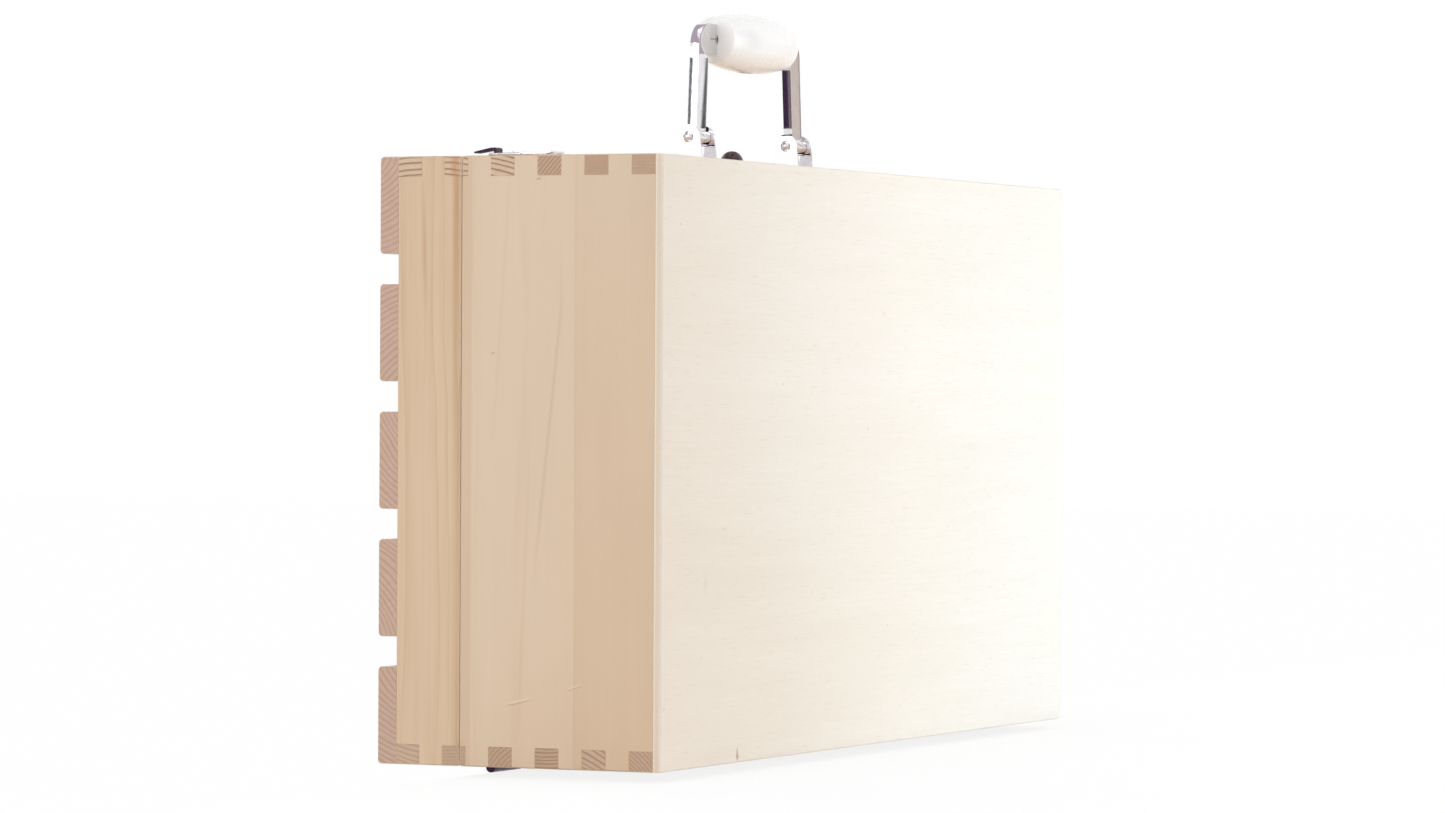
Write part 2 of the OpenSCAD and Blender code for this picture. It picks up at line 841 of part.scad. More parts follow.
// Points of a wire's rings along a coil, and the closed tube through them
module coil(coil_r, wire_r, turns, rise, per_turn, sides) {
    rings = turns * per_turn;
    function ring_point(i, j) =
        let (a = 360 * i / per_turn, b = 360 * j / sides, r = coil_r + wire_r * cos(b))
        [r * cos(a), r * sin(a), wire_r + rise * i / rings + wire_r * sin(b)];
    points = [for (i = [0:rings], j = [0:sides - 1]) ring_point(i, j)];
    walls = [for (i = [0:rings - 1], j = [0:sides - 1]) let (k = (j + 1) % sides)
        [i * sides + j, (i + 1) * sides + j, (i + 1) * sides + k, i * sides + k]];
    first = [for (j = [0:sides - 1]) j];
    last = [for (j = [sides - 1:-1:0]) rings * sides + j];
    polyhedron(points, concat(walls, [first, last]));
}

module button_spring() {
    wire_r = 0.4;
    space = 2 * button_travel;
    color("silver") translate([0, -button_offset, top_z - board_t + bezel_floor])
        coil(button_d / 2 - 0.8, wire_r, 3, space - 2 * wire_r, 14, 6);
}

// The latch's bracket: a plate under the board with two cheeks that hold the pin
module latch_bracket() {
    cheek_x = latch_w / 2 + gap;
    plate_l = 2 * (latch_screw_x + 3.5);
    color("silver") translate([0, latch_y, top_z - board_t]) difference() {
        union() {
            translate([0, 0, -latch_plate_t]) round_plate(plate_l, 11, latch_plate_t, 2);
            for (s = [-1, 1])
                translate([s * (cheek_x + latch_plate_t / 2), 0, -latch_drop]) along_x(latch_plate_t) {
                    translate([-3.2, 0]) square([6.4, latch_drop - latch_plate_t / 2]);
                    circle(r = 3.2);
                }
        }
        translate([0, 0, -latch_drop]) rotate([0, 90, 0])
            cylinder(r = latch_pin_d / 2 + run_clear, h = plate_l, center = true);
        translate([0, -latch_y, board_t - top_z]) latch_screw_set(run_clear);
    }
}

// The latch lever: a tail under the button's stem, a hub on the pin and a nose that bears on the strike
module latch_lever() {
    low = latch_arm_top - latch_arm_t;
    nose_low = strike_z + latch_plate_t + gap - latch_z;
    color("silver") translate([0, latch_y, latch_z]) difference() {
        union() {
            rotate([0, 90, 0]) cylinder(r = latch_arm_top, h = latch_w, center = true);
            along_x(latch_w) polygon([
                [latch_tail_y, low], [latch_tail_y, latch_arm_top], [latch_nose_y, latch_arm_top],
                [latch_nose_y, low]]);
            along_x(latch_w - 2) polygon([
                [latch_nose_y, latch_arm_top - 1], [latch_nose_y, nose_low + 0.6], [latch_nose_y + 0.6, nose_low],
                [latch_nose_y + 3.4, nose_low], [latch_nose_y + 4, nose_low + 0.6],
                [latch_nose_y + 4, latch_arm_top - 1]]);
        }
        rotate([0, 90, 0]) cylinder(r = latch_pin_d / 2 + run_clear, h = 2 * latch_w, center = true);
    }
}

module latch_pin() {
    color("silver") translate([0, latch_y, latch_z]) rotate([0, 90, 0])
        cylinder(d = latch_pin_d, h = latch_w + 2 * gap + 2 * latch_plate_t, center = true);
}

module latch_bracket_screws() {
    color("silver") latch_screw_set();
}

// The strike: a plate under the lid's rail, a web and a tongue that the lever's nose bears on
module lid_strike() {
    tongue_w = 12;
    tongue_end = parting_y - 0.4;
    under = top_z - board_t;
    color("silver") difference() {
        union() {
            translate([0, strike_web_y - strike_plate_l / 2 + latch_plate_t / 2, under - latch_plate_t])
                round_plate(strike_plate_w, strike_plate_l + latch_plate_t, latch_plate_t, 2);
            translate([-tongue_w / 2, strike_web_y, strike_z]) cube([tongue_w, latch_plate_t, under - strike_z]);
            translate([-tongue_w / 2, strike_web_y, strike_z])
                cube([tongue_w, tongue_end - strike_web_y, latch_plate_t]);
        }
        strike_screw_set(run_clear);
    }
}

module lid_strike_screws() {
    color("silver") strike_screw_set();
}

// ---- jack ----

// Places children, drawn along +Z from z = 0, so that they run from y towards the lid
module towards_lid(y) {
    translate([0, y, mid_z]) rotate([90, 0, 0]) children();
}

module spring_block_board() {
    color("burlywood") towards_lid(frame_back_y) round_plate(spring_block, spring_block, spring_block_t, 4);
}

module jack_spring() {
    wire_r = spring_wire_d / 2;
    color("silver") towards_lid(spring_back_y)
        coil(spring_d / 2 - wire_r, wire_r, spring_turns, spring_shut - 2 * wire_r, 20, 6);
}

module jack_platform() {
    color("tomato") towards_lid(platform_y) cylinder(d = platform_d, h = platform_t, $fn = 64);
}

module jack_gown() {
    color("royalblue") difference() {
        towards_lid(gown_y) {
            cylinder(r1 = gown_d / 2, r2 = gown_waist_r, h = gown_waist_h, $fn = 64);
            translate([0, 0, gown_waist_h - eps])
                cylinder(r1 = gown_waist_r, r2 = gown_neck_r, h = gown_h - gown_waist_h + eps, $fn = 64);
        }
        translate([0, arm_y, mid_z]) for (s = [-1, 1]) rotate([0, s * 90, 0])
            translate([0, 0, 6]) cylinder(r = arm_d / 2 + run_clear, h = gown_d);
    }
}

module jack_collar() {
    color("gold") towards_lid(collar_y) {
        cylinder(d1 = collar_d, d2 = collar_d - 4, h = collar_t, $fn = 64);
    }
}

module jack_head() {
    color("bisque") intersection() {
        translate([0, head_y, mid_z]) rotate([90, 0, 0]) sphere(r = head_r, $fn = 64);
        translate([-head_r, hat_y, mid_z - head_r]) cube([2 * head_r, head_base_y - hat_y, 2 * head_r]);
    }
}

module jack_hat() {
    brim_r = head_r * 0.86;
    bobble_r = 4;
    color("tomato") towards_lid(hat_y) {
        cylinder(r1 = brim_r, r2 = brim_r - 1, h = 4, $fn = 64);
        translate([0, 0, 4]) cylinder(r1 = brim_r - 2.5, r2 = 2, h = hat_l - 4 - bobble_r, $fn = 64);
        translate([0, 0, hat_l - bobble_r]) sphere(r = bobble_r);
    }
}

module jack_arms() {
    hand_r = 6.5;
    color("royalblue") translate([0, arm_y, mid_z]) for (s = [-1, 1]) rotate([0, s * 90, 0]) {
        translate([0, 0, 6]) cylinder(d = arm_d, h = arm_span / 2 - 6);
        translate([0, 0, arm_span / 2]) sphere(r = hand_r);
    }
}

body_top_board();
body_bottom_board();
body_right_end();
body_left_end();
back_panel();
lid_top_rail();
lid_bottom_rail();
lid_right_rail();
lid_left_rail();
slat_1();
slat_2();
slat_3();
slat_4();
slat_5();
hinge_body_leaf_right();
hinge_body_leaf_left();
hinge_lid_leaf_right();
hinge_lid_leaf_left();
hinge_pins();
hinge_body_screws();
hinge_lid_screws();
rear_feet();
catch_base_right();
catch_base_left();
catch_lever_right();
catch_lever_left();
catch_loop_right();
catch_loop_left();
catch_keeper_right();
catch_keeper_left();
catch_pins();
catch_base_screws();
catch_keeper_screws();
handle_bracket_right();
handle_bracket_left();
handle_rivets();
handle_bracket_screws();
handle_post_right();
handle_post_left();
handle_grip();
handle_rod();
button_bezel();
release_button();
button_spring();
latch_bracket();
latch_lever();
latch_pin();
latch_bracket_screws();
lid_strike();
lid_strike_screws();
spring_block_board();
jack_spring();
jack_platform();
jack_gown();
jack_collar();
jack_head();
jack_hat();
jack_arms();
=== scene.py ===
import bpy, bmesh
from math import cos, exp, pi, radians, sin, tau
from mathutils import Matrix, Vector
from mathutils.geometry import tessellate_polygon


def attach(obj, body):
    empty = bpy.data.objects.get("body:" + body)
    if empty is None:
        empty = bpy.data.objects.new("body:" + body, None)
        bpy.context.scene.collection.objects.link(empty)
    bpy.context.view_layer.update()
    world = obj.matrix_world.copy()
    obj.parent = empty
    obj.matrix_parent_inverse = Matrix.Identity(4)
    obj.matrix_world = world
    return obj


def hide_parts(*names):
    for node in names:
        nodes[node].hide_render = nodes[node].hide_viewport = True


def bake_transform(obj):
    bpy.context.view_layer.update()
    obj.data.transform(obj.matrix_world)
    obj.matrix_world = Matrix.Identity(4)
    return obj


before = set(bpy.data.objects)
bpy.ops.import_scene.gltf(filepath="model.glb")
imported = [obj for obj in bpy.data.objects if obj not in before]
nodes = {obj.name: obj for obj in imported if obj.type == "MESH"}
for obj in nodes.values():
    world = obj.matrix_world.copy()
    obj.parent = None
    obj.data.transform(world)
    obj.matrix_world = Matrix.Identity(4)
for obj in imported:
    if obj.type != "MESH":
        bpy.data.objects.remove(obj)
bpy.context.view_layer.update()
scene = bpy.context.scene

# Metres, in the frame of the CAD: x along the case, y from the slatted lid (-) to the plywood back (+), z up.
TOP, BASE, MID = 0.3052, 0.0052, 0.1552    # heights of the case's top, underside and middle
HALF_L, BACK, PLY = 0.270, 0.07685, 0.004  # half the length, the back's outer face, the plywood's thickness
PARTING = -0.03255                         # where the lid meets the body
NEAR = HALF_L - 0.0002                     # beyond this x lies only the outer face of the near end
REAR_SEAM = 0.0303                         # the glue line towards the back of the near end board
HEAD_Y = -0.02715                          # the middle of the jack's head
SIDES = (-1, 1)


# ---------- materials ----------
class Val:
    """An output of a node. Arithmetic on it adds Math nodes, so that a material reads as its formulas."""

    def __init__(self, tree, socket):
        self.tree, self.socket = tree, socket

    def __add__(self, v): return self.tree.math("ADD", self, v)
    def __sub__(self, v): return self.tree.math("SUBTRACT", self, v)
    def __rsub__(self, v): return self.tree.math("SUBTRACT", v, self)
    def __mul__(self, v): return self.tree.math("MULTIPLY", self, v)
    def __truediv__(self, v): return self.tree.math("DIVIDE", self, v)
    def __pow__(self, v): return self.tree.math("POWER", self, v)
    def __gt__(self, v): return self.tree.math("GREATER_THAN", self, v)
    def __lt__(self, v): return self.tree.math("LESS_THAN", self, v)
    def __abs__(self): return self.tree.math("ABSOLUTE", self)


class Tree:
    """Short helpers for a node tree. Their values are Vals, numbers and colours."""

    def __init__(self, owner):
        owner.use_nodes = True
        self.t = owner.node_tree
        self.t.nodes.clear()

    def put(self, socket, value):
        if isinstance(value, Val):
            self.t.links.new(value.socket, socket)
        elif value is not None:
            if isinstance(value, tuple) and len(value) == 3 and socket.type == "RGBA":
                value = (*value, 1)
            socket.default_value = value

    def node(self, kind, inputs=(), out=0, **props):
        """Adds a node, its inputs in order or by key in a dict. Gives one output, or all of them for None."""
        node = self.t.nodes.new(kind)
        for k, v in props.items():
            setattr(node, k, v)
        for k, v in inputs.items() if isinstance(inputs, dict) else enumerate(inputs):
            self.put(node.inputs[k], v)
        return {o.name: Val(self, o) for o in node.outputs} if out is None else Val(self, node.outputs[out])

    def math(self, op, a, b=None, clamp=False):
        return self.node("ShaderNodeMath", (a, b), operation=op, use_clamp=clamp)

    def most(self, a, b):
        return self.math("MAXIMUM", a, b)

    def hypot(self, a, b):
        return self.math("SQRT", a * a + b * b)

    def xyz(self, x, y, z):
        return self.node("ShaderNodeCombineXYZ", (x, y, z))

    def split(self, v):
        return list(self.node("ShaderNodeSeparateXYZ", (v,), None).values())

    def noise(self, vec, scale, detail=2.0, rough=0.5, distort=0.0):
        return self.node("ShaderNodeTexNoise", {"Vector": vec, "Scale": scale, "Detail": detail,
                                                "Roughness": rough, "Distortion": distort}, "Fac")

    def ramp(self, fac, stops, interp="LINEAR"):
        color = self.node("ShaderNodeValToRGB", (fac,))
        r = color.socket.node.color_ramp
        r.interpolation = interp
        while len(r.elements) < len(stops):
            r.elements.new(0.5)
        for e, (p, c) in zip(r.elements, stops):
            e.position = p
            e.color = (c, c, c, 1) if isinstance(c, (int, float)) else (*c, 1)
        return color

    def mix(self, fac, a, b, mode="MIX"):
        return self.node("ShaderNodeMix", {0: fac, 6: a, 7: b}, 2, data_type="RGBA", blend_type=mode)

    def tint(self, col, by, amount=1.0):
        """A colour multiplied by another, as far as amount says."""
        return self.mix(amount, col, by, "MULTIPLY")

    def span(self, v, lo, hi, a=0.0, b=1.0):
        """v from lo to hi becomes a to b, and stays within them."""
        return self.node("ShaderNodeMapRange", (v, lo, hi, a, b))

    def seen(self):
        """1 for rays that see plain white surroundings: from the camera, off polish and through glass."""
        ray = self.node("ShaderNodeLightPath", out=None)
        return self.most(ray["Is Camera Ray"], self.most(ray["Is Glossy Ray"], ray["Is Transmission Ray"]))


class Mat(Tree):
    """A material with its output node, one shader and the object's own coordinates."""

    def __init__(self, name, shader="ShaderNodeBsdfPrincipled"):
        self.m = bpy.data.materials.new(name)
        super().__init__(self.m)
        self.shader = self.node(shader)
        self.node("ShaderNodeOutputMaterial", (self.shader,), None)
        self.coord = self.node("ShaderNodeTexCoord", out=None)
        self.pos = self.coord["Object"]
        self.x, self.y, self.z = self.split(self.pos)

    def normal(self):
        return self.split(self.coord["Normal"])

    def set(self, **inputs):
        for k, v in inputs.items():
            self.put(self.shader.socket.node.inputs[k.replace("_", " ")], v)

    def bump(self, height, strength, distance):
        inputs = {"Strength": strength, "Distance": distance, "Height": height}
        self.set(Normal=self.node("ShaderNodeBump", inputs))

    def spot(self, u, v, cu, cv, hu, hv, angle, soft):
        """Mask of an ellipse in two coordinates: its middle, half sizes and turn, and how soft its rim is."""
        ca, sa = cos(angle), sin(angle)
        du, dv = u - cu, v - cv
        r = self.hypot(du * (ca / hu) + dv * (sa / hu), du * (-sa / hv) + dv * (ca / hv))
        return self.span(r, 1.0, 1.0 - soft)


def srgb(*levels):
    """Linear values of a colour that is written as 0 to 255."""
    shares = (v / 255.0 for v in levels)
    return tuple(c / 12.92 if c <= 0.04045 else ((c + 0.055) / 1.055) ** 2.4 for c in shares)


def scaled(colour, k, plus=0.0):
    return tuple(min(1.0, c * k + plus) for c in colour)


PINE_L, PINE_D = srgb(229, 206, 182), srgb(196, 158, 118)  # early and late wood on a board's face
END_L, END_D = srgb(222, 196, 168), srgb(190, 156, 132)    # the same on its end grain
SAWN_CUT_AND_PAINTED_LIGHT = srgb(250, 236, 216)                                 # the pale cut where the lid was sawn off, made near white as painted light in the gap's shade
REACH = 0.08                                               # planks are told apart for y from -REACH to REACH


def wood(name, grain, planks, seed, light, dark, end_light, end_dark, face_amp=0.3,
         line_dark=(0.32, 0.17, 0.09), streak=0.5, marks=None):
    """Solid wood: growth rings round an axis along the grain, seen as lines on faces and arcs on ends.
    planks: (from y, ring centre y, ring centre through the thickness, ring spacing, tone, end grain's
    darkness, end lines' strength), lengths in metres and the rest from 0 to 1."""
    m = Mat(name)
    g, a, b = (m.x, m.y, m.z) if grain == "X" else (m.z, m.y, m.x)
    nrm = m.normal()
    end = m.span(abs(nrm[0 if grain == "X" else 2]), 0.62, 0.8)

    if len(planks) == 1:  # a ramp has two stops or more
        planks = [planks[0], (REACH, *planks[0][1:])]
    key = m.span(a, -REACH, REACH)
    at = [(p[0] + REACH) / (2 * REACH) for p in planks]
    stops = [(s, ((p[1] + 0.4) / 0.8, (p[2] + 0.4) / 0.8, p[3] / 0.01)) for s, p in zip(at, planks)]
    cy, cb, spacing = m.split(m.ramp(key, stops, "CONSTANT"))
    cy, cb = (m.span(c, 0, 1, -0.4, 0.4) for c in (cy, cb))
    stops = [(s, p[4:7]) for s, p in zip(at, planks)]
    tone, end_dark_share, line_share = m.split(m.ramp(key, stops, "CONSTANT"))
    which = m.ramp(key, [(s, (i * 0.37 + seed * 0.13) % 1.0) for i, s in enumerate(at)], "CONSTANT")
    off = which * 3.0

    # growth rings: how far from their axis, with slow and quick wander
    low = m.xyz(a + seed * 0.31, b + off, g * 0.16)
    wander, quick = m.noise(low, 11.0) - 0.5, m.noise(low, 70.0) - 0.5
    r = m.hypot((a - cy) + (wander * 0.030 + quick * 0.0022), (b - cb) + quick * 0.0012)
    count = r / (spacing * 0.01) + m.noise(m.xyz(r, off, seed * 1.7), 160.0, 1.0) * 0.9
    turn = m.math("FRACT", count)
    amp = m.span(m.noise(m.xyz(r, off, g * 0.6), 45.0, 1.0), 0.3, 0.7, 0.35, 1.0)
    ring = m.ramp(turn, [(0.0, 0.0), (0.51, 0.05), (0.825, 0.5), (0.94, 1.0), (1.0, 0.0)]) * amp
    thin = m.ramp(turn, [(0.0, 0.15), (0.08, 0.0), (0.55, 0.05), (0.72, 0.70), (0.82, 1.0), (0.93, 0.85),
                         (1.0, 0.15)]) * m.span(amp, 0.35, 1.0, 0.7, 1.0)

    # the face: rings, fibres and bands drawn out along the grain
    fib = m.noise(m.xyz(a + seed, b + off, g * 0.018), 620.0, 3.0, 0.62)
    band = m.noise(m.xyz(a, b + seed * 0.7, g * 0.05), 95.0)
    face = m.mix(ring * face_amp, light, dark)
    streaks = (band - 0.5) * (1.1 * streak) + (fib - 0.5) * (0.7 * streak)
    face = m.tint(face, (0.87, 0.82, 0.75), m.math("ADD", streaks, 0.5, clamp=True))

    # the end grain: arcs of late wood, smears and pores
    smear = m.noise(m.xyz(a, b * 2.0, which), 240.0, 3.0, 0.6)
    pores = m.noise(m.xyz(a, b, g * 0.8), 1500.0, 2.0, 0.7)
    ends = m.mix(end_dark_share, end_light, end_dark)
    ends = m.tint(ends, (0.90, 0.855, 0.81), m.span(smear, 0.35, 0.72, 0.0, 0.55))
    ends = m.mix(thin * line_share, ends, line_dark)
    ends = m.tint(ends, (0.84, 0.79, 0.74), m.span(pores, 0.35, 0.7, 0.0, 0.30))

    # each plank's own tone, and slow blotches
    blot = m.noise(m.xyz(a, b, g * 0.35), 16.0)
    shade = (tone * 0.20 + 0.90) * m.span(blot, 0.25, 0.75, 0.975, 1.02)
    col = m.tint(m.mix(end, face, ends), m.xyz(shade, shade ** 1.15, shade ** 1.35))
    if marks:
        col = marks(m, col)
    # painted light: the faces in the parting gap, a sawn cut, are made near white to lift the shade in the
    # gap
    sawn_cut_and_painted_light = (abs(m.y - PARTING) < 0.0004) * m.span(abs(nrm[1]), 0.5, 0.8, 0.0, 0.60)
    m.bump(fib * 0.7 + ring * (end * 0.5 + 0.2), 0.18, 0.00016)
    m.set(Base_Color=m.mix(sawn_cut_and_painted_light, col, SAWN_CUT_AND_PAINTED_LIGHT), Roughness=m.span(fib, 0.3, 0.7, 0.54, 0.68),
          Specular_IOR_Level=0.32)
    return m.m


def end_board_marks(m, col):
    """The near end board: redder behind its rear seam, warmer at the parting line, darker and warmer towards
    the foot as painted shade, with scratches, pin specks and three clear grain lines."""
    near = m.x > NEAR
    rear = m.span(m.y, REAR_SEAM - 0.0005, REAR_SEAM + 0.0005) * m.span(m.z, 0.31, 0.10, 0.05, 0.75)
    col = m.tint(col, (0.965, 0.925, 0.86), rear * near)
    col = m.tint(col, (0.925, 0.895, 0.86), m.span(m.y, -0.0254, -0.0268) * near)
    # painted shade: the board grows darker and warmer towards its foot
    col = m.tint(col, (0.97, 0.955, 0.925), m.span(m.z, 0.16, 0.0, 0.0, 0.5))
    seam = m.span(abs(m.y - REAR_SEAM), 0.0007, 0.0001) * 0.16
    col = m.mix(seam * near, col, srgb(186, 152, 118))
    # scratches, each with a lit and a shaded lip: middle y and z, half sizes, turn, strength
    for cy, cz, hy, hz, angle, k in ((0.0012, 0.0382, 0.0085, 0.0006, 0.25, 0.55),
                                     (0.0310, 0.0459, 0.0058, 0.0005, 0.33, 0.45),
                                     (-0.0035, 0.0372, 0.0035, 0.0009, 0.10, 0.30)):
        for up, lip in ((0.0, srgb(240, 219, 197)), (-0.0009, srgb(186, 152, 120))):
            col = m.mix(m.spot(m.y, m.z, cy, cz + up, hy, hz, angle, 0.8) * near * k, col, lip)
    for cy, cz, h in ((-0.0145, 0.2083, 0.0009), (0.0101, 0.2935, 0.0012)):
        speck = m.spot(m.y, m.z, cy, cz, h * 1.7, h * 0.6, 0.2, 0.8) * near * 0.5
        col = m.mix(speck, col, srgb(150, 120, 88))
    # grain lines: y at the lower and the upper end, z of both ends, strength
    for lo, hi, z0, z1, k in ((0.0085, 0.0225, 0.10, 0.23, 0.20), (0.0, 0.0050, 0.02, 0.14, 0.10),
                              (-0.0140, -0.0060, 0.17, 0.29, 0.08)):
        line = m.span(abs(m.y - m.span(m.z, z0, z1, lo, hi)), 0.0014, 0.0002)
        line = line * (m.span(m.z, z0 - 0.01, z0 + 0.03) * m.span(m.z, z1 + 0.04, z1 - 0.02))
        col = m.mix(line * near * k, col, srgb(180, 146, 112))
    return col


def lid_rail_marks(m, col):
    """A brown smear near the top of the near lid rail, and the brown streak beside the parting line."""
    near = m.x > NEAR
    smear = m.spot(m.y, m.z, -0.0525, 0.262, 0.0016, 0.040, 0.03, 0.9) * near
    col = m.mix(smear * 0.35, col, srgb(184, 132, 84))
    heart = m.span(abs(m.y + 0.0348), 0.0026, 0.0006) * m.span(m.z, 0.15, 0.28, 0.28, 0.80)
    return m.mix(heart * near, col, srgb(194, 150, 106))


def top_board_marks(m, col):
    """The same streak where it crosses the end grain of the top board's fingers."""
    stain = m.span(abs(m.y + 0.0358), 0.0032, 0.0006) * (m.x > NEAR)
    return m.mix(stain * 0.50, col, srgb(192, 128, 82))


def ply():
    """Birch plywood: pale and nearly plain, with short pores along the grain and its core at the edge."""
    m = Mat("birch_ply")
    z = m.z + m.noise(m.xyz(m.x * 0.5, 0.2, m.z), 5.0, 1.0) * 0.02
    fib = m.noise(m.xyz(m.x * 0.02, m.y, z), 560.0, 3.0, 0.6)
    band = m.noise(m.xyz(m.x * 0.07, m.y, z), 60.0, 3.0, 0.55, 0.2)
    wide = m.noise(m.xyz(m.x * 0.25, m.y, m.z), 7.0)
    pores = m.noise(m.xyz(m.x * 0.06, m.y, z), 1500.0, 1.0)
    specks = m.noise(m.xyz(m.x * 0.7, m.y, m.z), 260.0, 1.0)
    col = m.mix(m.span(wide, 0.3, 0.7), srgb(242, 234, 222), srgb(236, 227, 212))
    col = m.tint(col, (0.962, 0.946, 0.925), m.span(band, 0.34, 0.70, 0.0, 0.50))
    col = m.tint(col, (0.965, 0.95, 0.93), m.span(fib, 0.35, 0.72, 0.0, 0.45))
    col = m.mix(m.span(pores, 0.62, 0.80, 0.0, 0.30), col, srgb(212, 190, 160))
    col = m.mix(m.span(specks, 0.76, 0.80, 0.0, 0.45), col, srgb(196, 164, 130))
    # painted light and shade: darker, yellower near end; paler, whiter far end; paler past the middle and at
    # the foot
    near, far = m.tint(col, (0.975, 0.945, 0.925)), m.tint(col, (0.946, 1.014, 1.088))
    col = m.mix(m.span(m.x, 0.27, -0.20), near, far)
    col = m.tint(col, (1.03, 1.034, 1.026), m.span(abs(m.x + 0.04), 0.17, 0.0))
    col = m.tint(col, (1.042, 1.045, 1.05), m.span(m.z, 0.17, 0.01))
    # a brown mark at the foot and two faint ones higher up: middle x and z, half sizes, strength, colour
    outer = m.y > BACK - 0.0004
    for cx, cz, hx, hz, k, mark in ((0.1788, 0.0098, 0.0012, 0.0040, 0.85, srgb(172, 136, 106)),
                                    (0.1782, 0.0080, 0.0022, 0.0022, 0.50, srgb(156, 118, 92)),
                                    (0.2180, 0.0950, 0.0035, 0.0060, 0.18, srgb(200, 172, 140)),
                                    (0.2330, 0.2370, 0.0030, 0.0010, 0.25, srgb(206, 170, 130))):
        col = m.mix(m.spot(m.x, m.z, cx, cz, hx, hz, 0.06, 0.8) * outer * k, col, mark)
    # the edge shows the core and its two glue lines
    core = m.ramp(m.span(m.y, BACK - PLY, BACK), [(0.0, 0.05), (0.27, 0.05), (0.285, 0.9), (0.31, 0.35),
                                                  (0.69, 0.35), (0.705, 0.9), (0.73, 0.05), (1.0, 0.05)])
    fray = m.noise(m.xyz(m.x, m.y * 2.0, m.z), 700.0)
    edge = m.mix(core, srgb(240, 226, 208), srgb(206, 180, 150))
    edge = m.mix(m.span(fray, 0.4, 0.7, 0.0, 0.3), edge, srgb(214, 192, 164))
    m.bump(fib * 0.8 + pores * -0.3, 0.12, 0.00012)
    m.set(Base_Color=m.mix(m.span(abs(m.normal()[1]), 0.72, 0.5), col, edge),
          Roughness=m.span(fib, 0.3, 0.7, 0.56, 0.68), Specular_IOR_Level=0.3)
    return m.m


def metal(name, base, rough, scratch, spot, spot_amount, metallic=1.0, axis="X"):
    """Plated or drawn metal with polishing lines along an axis, smudges and a little tarnish."""
    m = Mat(name)
    lines = m.xyz(m.x * 0.05, m.y, m.z) if axis == "X" else m.xyz(m.x, m.y, m.z * 0.05)
    fine = m.noise(lines, 2600.0, 2.0, 0.6)
    smudge = m.noise(m.pos, 150.0, 3.0, 0.6)
    grit = m.noise(m.pos, 900.0)
    col = m.mix(m.span(smudge, 0.35, 0.7, 0.0, 0.6), base, scaled(base, 0.86))
    col = m.mix(m.span(grit, 0.60, 0.74, 0.0, spot_amount), col, spot)
    m.set(Base_Color=col, Metallic=metallic,
          Roughness=m.span(smudge, 0.3, 0.7, rough * 0.75, rough * 1.25) + fine * scratch)
    m.bump(fine * 0.6 + grit * 0.4, 0.05 + scratch * 0.5, 0.00008)
    return m.m


def plastic(name, base, rough, speck, bump, coat=0.0):
    """Moulded plastic or rubber with a fine texture and paler clouds."""
    m = Mat(name)
    fine = m.noise(m.pos, 1800.0)
    soft = m.noise(m.pos, 120.0)
    m.set(Base_Color=m.mix(m.span(soft, 0.3, 0.7, 0.0, speck), base, scaled(base, 1.35, 0.01)),
          Roughness=m.span(fine, 0.3, 0.7, rough * 0.85, rough * 1.2), Coat_Weight=coat, Coat_Roughness=0.08)
    m.bump(fine, bump, 0.0001)
    return m.m


def painted(name, base, wear=0.55, rough=0.34):
    """Brushed enamel on turned wood, rubbed thin in places."""
    m = Mat(name)
    brush = m.noise(m.xyz(m.x, m.y * 0.06, m.z), 520.0, 3.0, 0.6)
    soft = m.noise(m.pos, 70.0, 3.0, 0.55)
    chips = m.noise(m.pos, 330.0, 4.0, 0.62)
    col = m.mix(m.span(brush, 0.3, 0.75, 0.0, 0.5), base, scaled(base, 0.78))
    col = m.mix(m.span(soft, 0.35, 0.75, 0.0, 0.35), col, scaled(base, 1.2, 0.015))
    col = m.mix(m.span(chips, 0.70, 0.74, 0.0, wear), col, (0.62, 0.44, 0.27))
    m.set(Base_Color=col, Roughness=m.span(soft, 0.3, 0.7, rough * 0.85, rough * 1.3),
          Coat_Weight=0.15, Coat_Roughness=0.25)
    m.bump(brush + m.span(chips, 0.70, 0.74) * -0.6, 0.14, 0.00015)
    return m.m


def lacquer():
    """White lacquer on turned wood: faint orange peel, a trace of grain and a little yellowing."""
    m = Mat("white_lacquer")
    peel = m.noise(m.pos, 300.0)
    grain = m.noise(m.xyz(m.x * 0.04, m.y, m.z), 300.0, 3.0, 0.6)
    soft = m.noise(m.pos, 34.0)
    col = m.mix(m.span(soft, 0.3, 0.7, 0.0, 0.4), (0.93, 0.925, 0.915), (0.895, 0.88, 0.86))
    col = m.mix(m.span(grain, 0.58, 0.78, 0.0, 0.08), col, (0.84, 0.81, 0.77))
    m.set(Base_Color=col, Roughness=m.span(peel, 0.3, 0.7, 0.22, 0.28), Coat_Weight=0.3, Coat_Roughness=0.12)
    m.bump(peel * 0.4 + grain * 0.4, 0.02, 0.00006)
    return m.m


def woven(name, base, other):
    """Plain-woven cotton: threads round and along the jack's axis, slubs and a soft sheen."""
    m = Mat(name)
    up = m.z - MID
    warp = m.math("SINE", m.math("ARCTAN2", up, m.x) * 260.0)
    weft = m.math("SINE", (m.y + m.hypot(m.x, up) * 0.8) * 9500.0)
    weave = warp * weft
    slub = m.noise(m.xyz(m.x, m.y * 0.3, m.z), 420.0, 3.0, 0.6)
    soft = m.noise(m.pos, 60.0)
    col = m.mix(m.span(weave, -1.0, 1.0, 0.0, 0.5), base, other)
    col = m.tint(col, (0.80, 0.80, 0.80), m.span(slub, 0.35, 0.7, 0.0, 0.45))
    col = m.mix(m.span(soft, 0.3, 0.7, 0.0, 0.25), col, other)
    m.set(Base_Color=col, Roughness=m.span(slub, 0.3, 0.7, 0.82, 0.95), Sheen_Weight=0.25,
          Specular_IOR_Level=0.2)
    m.bump(m.span(weave, -1.0, 1.0) + slub, 0.35, 0.0001)
    return m.m


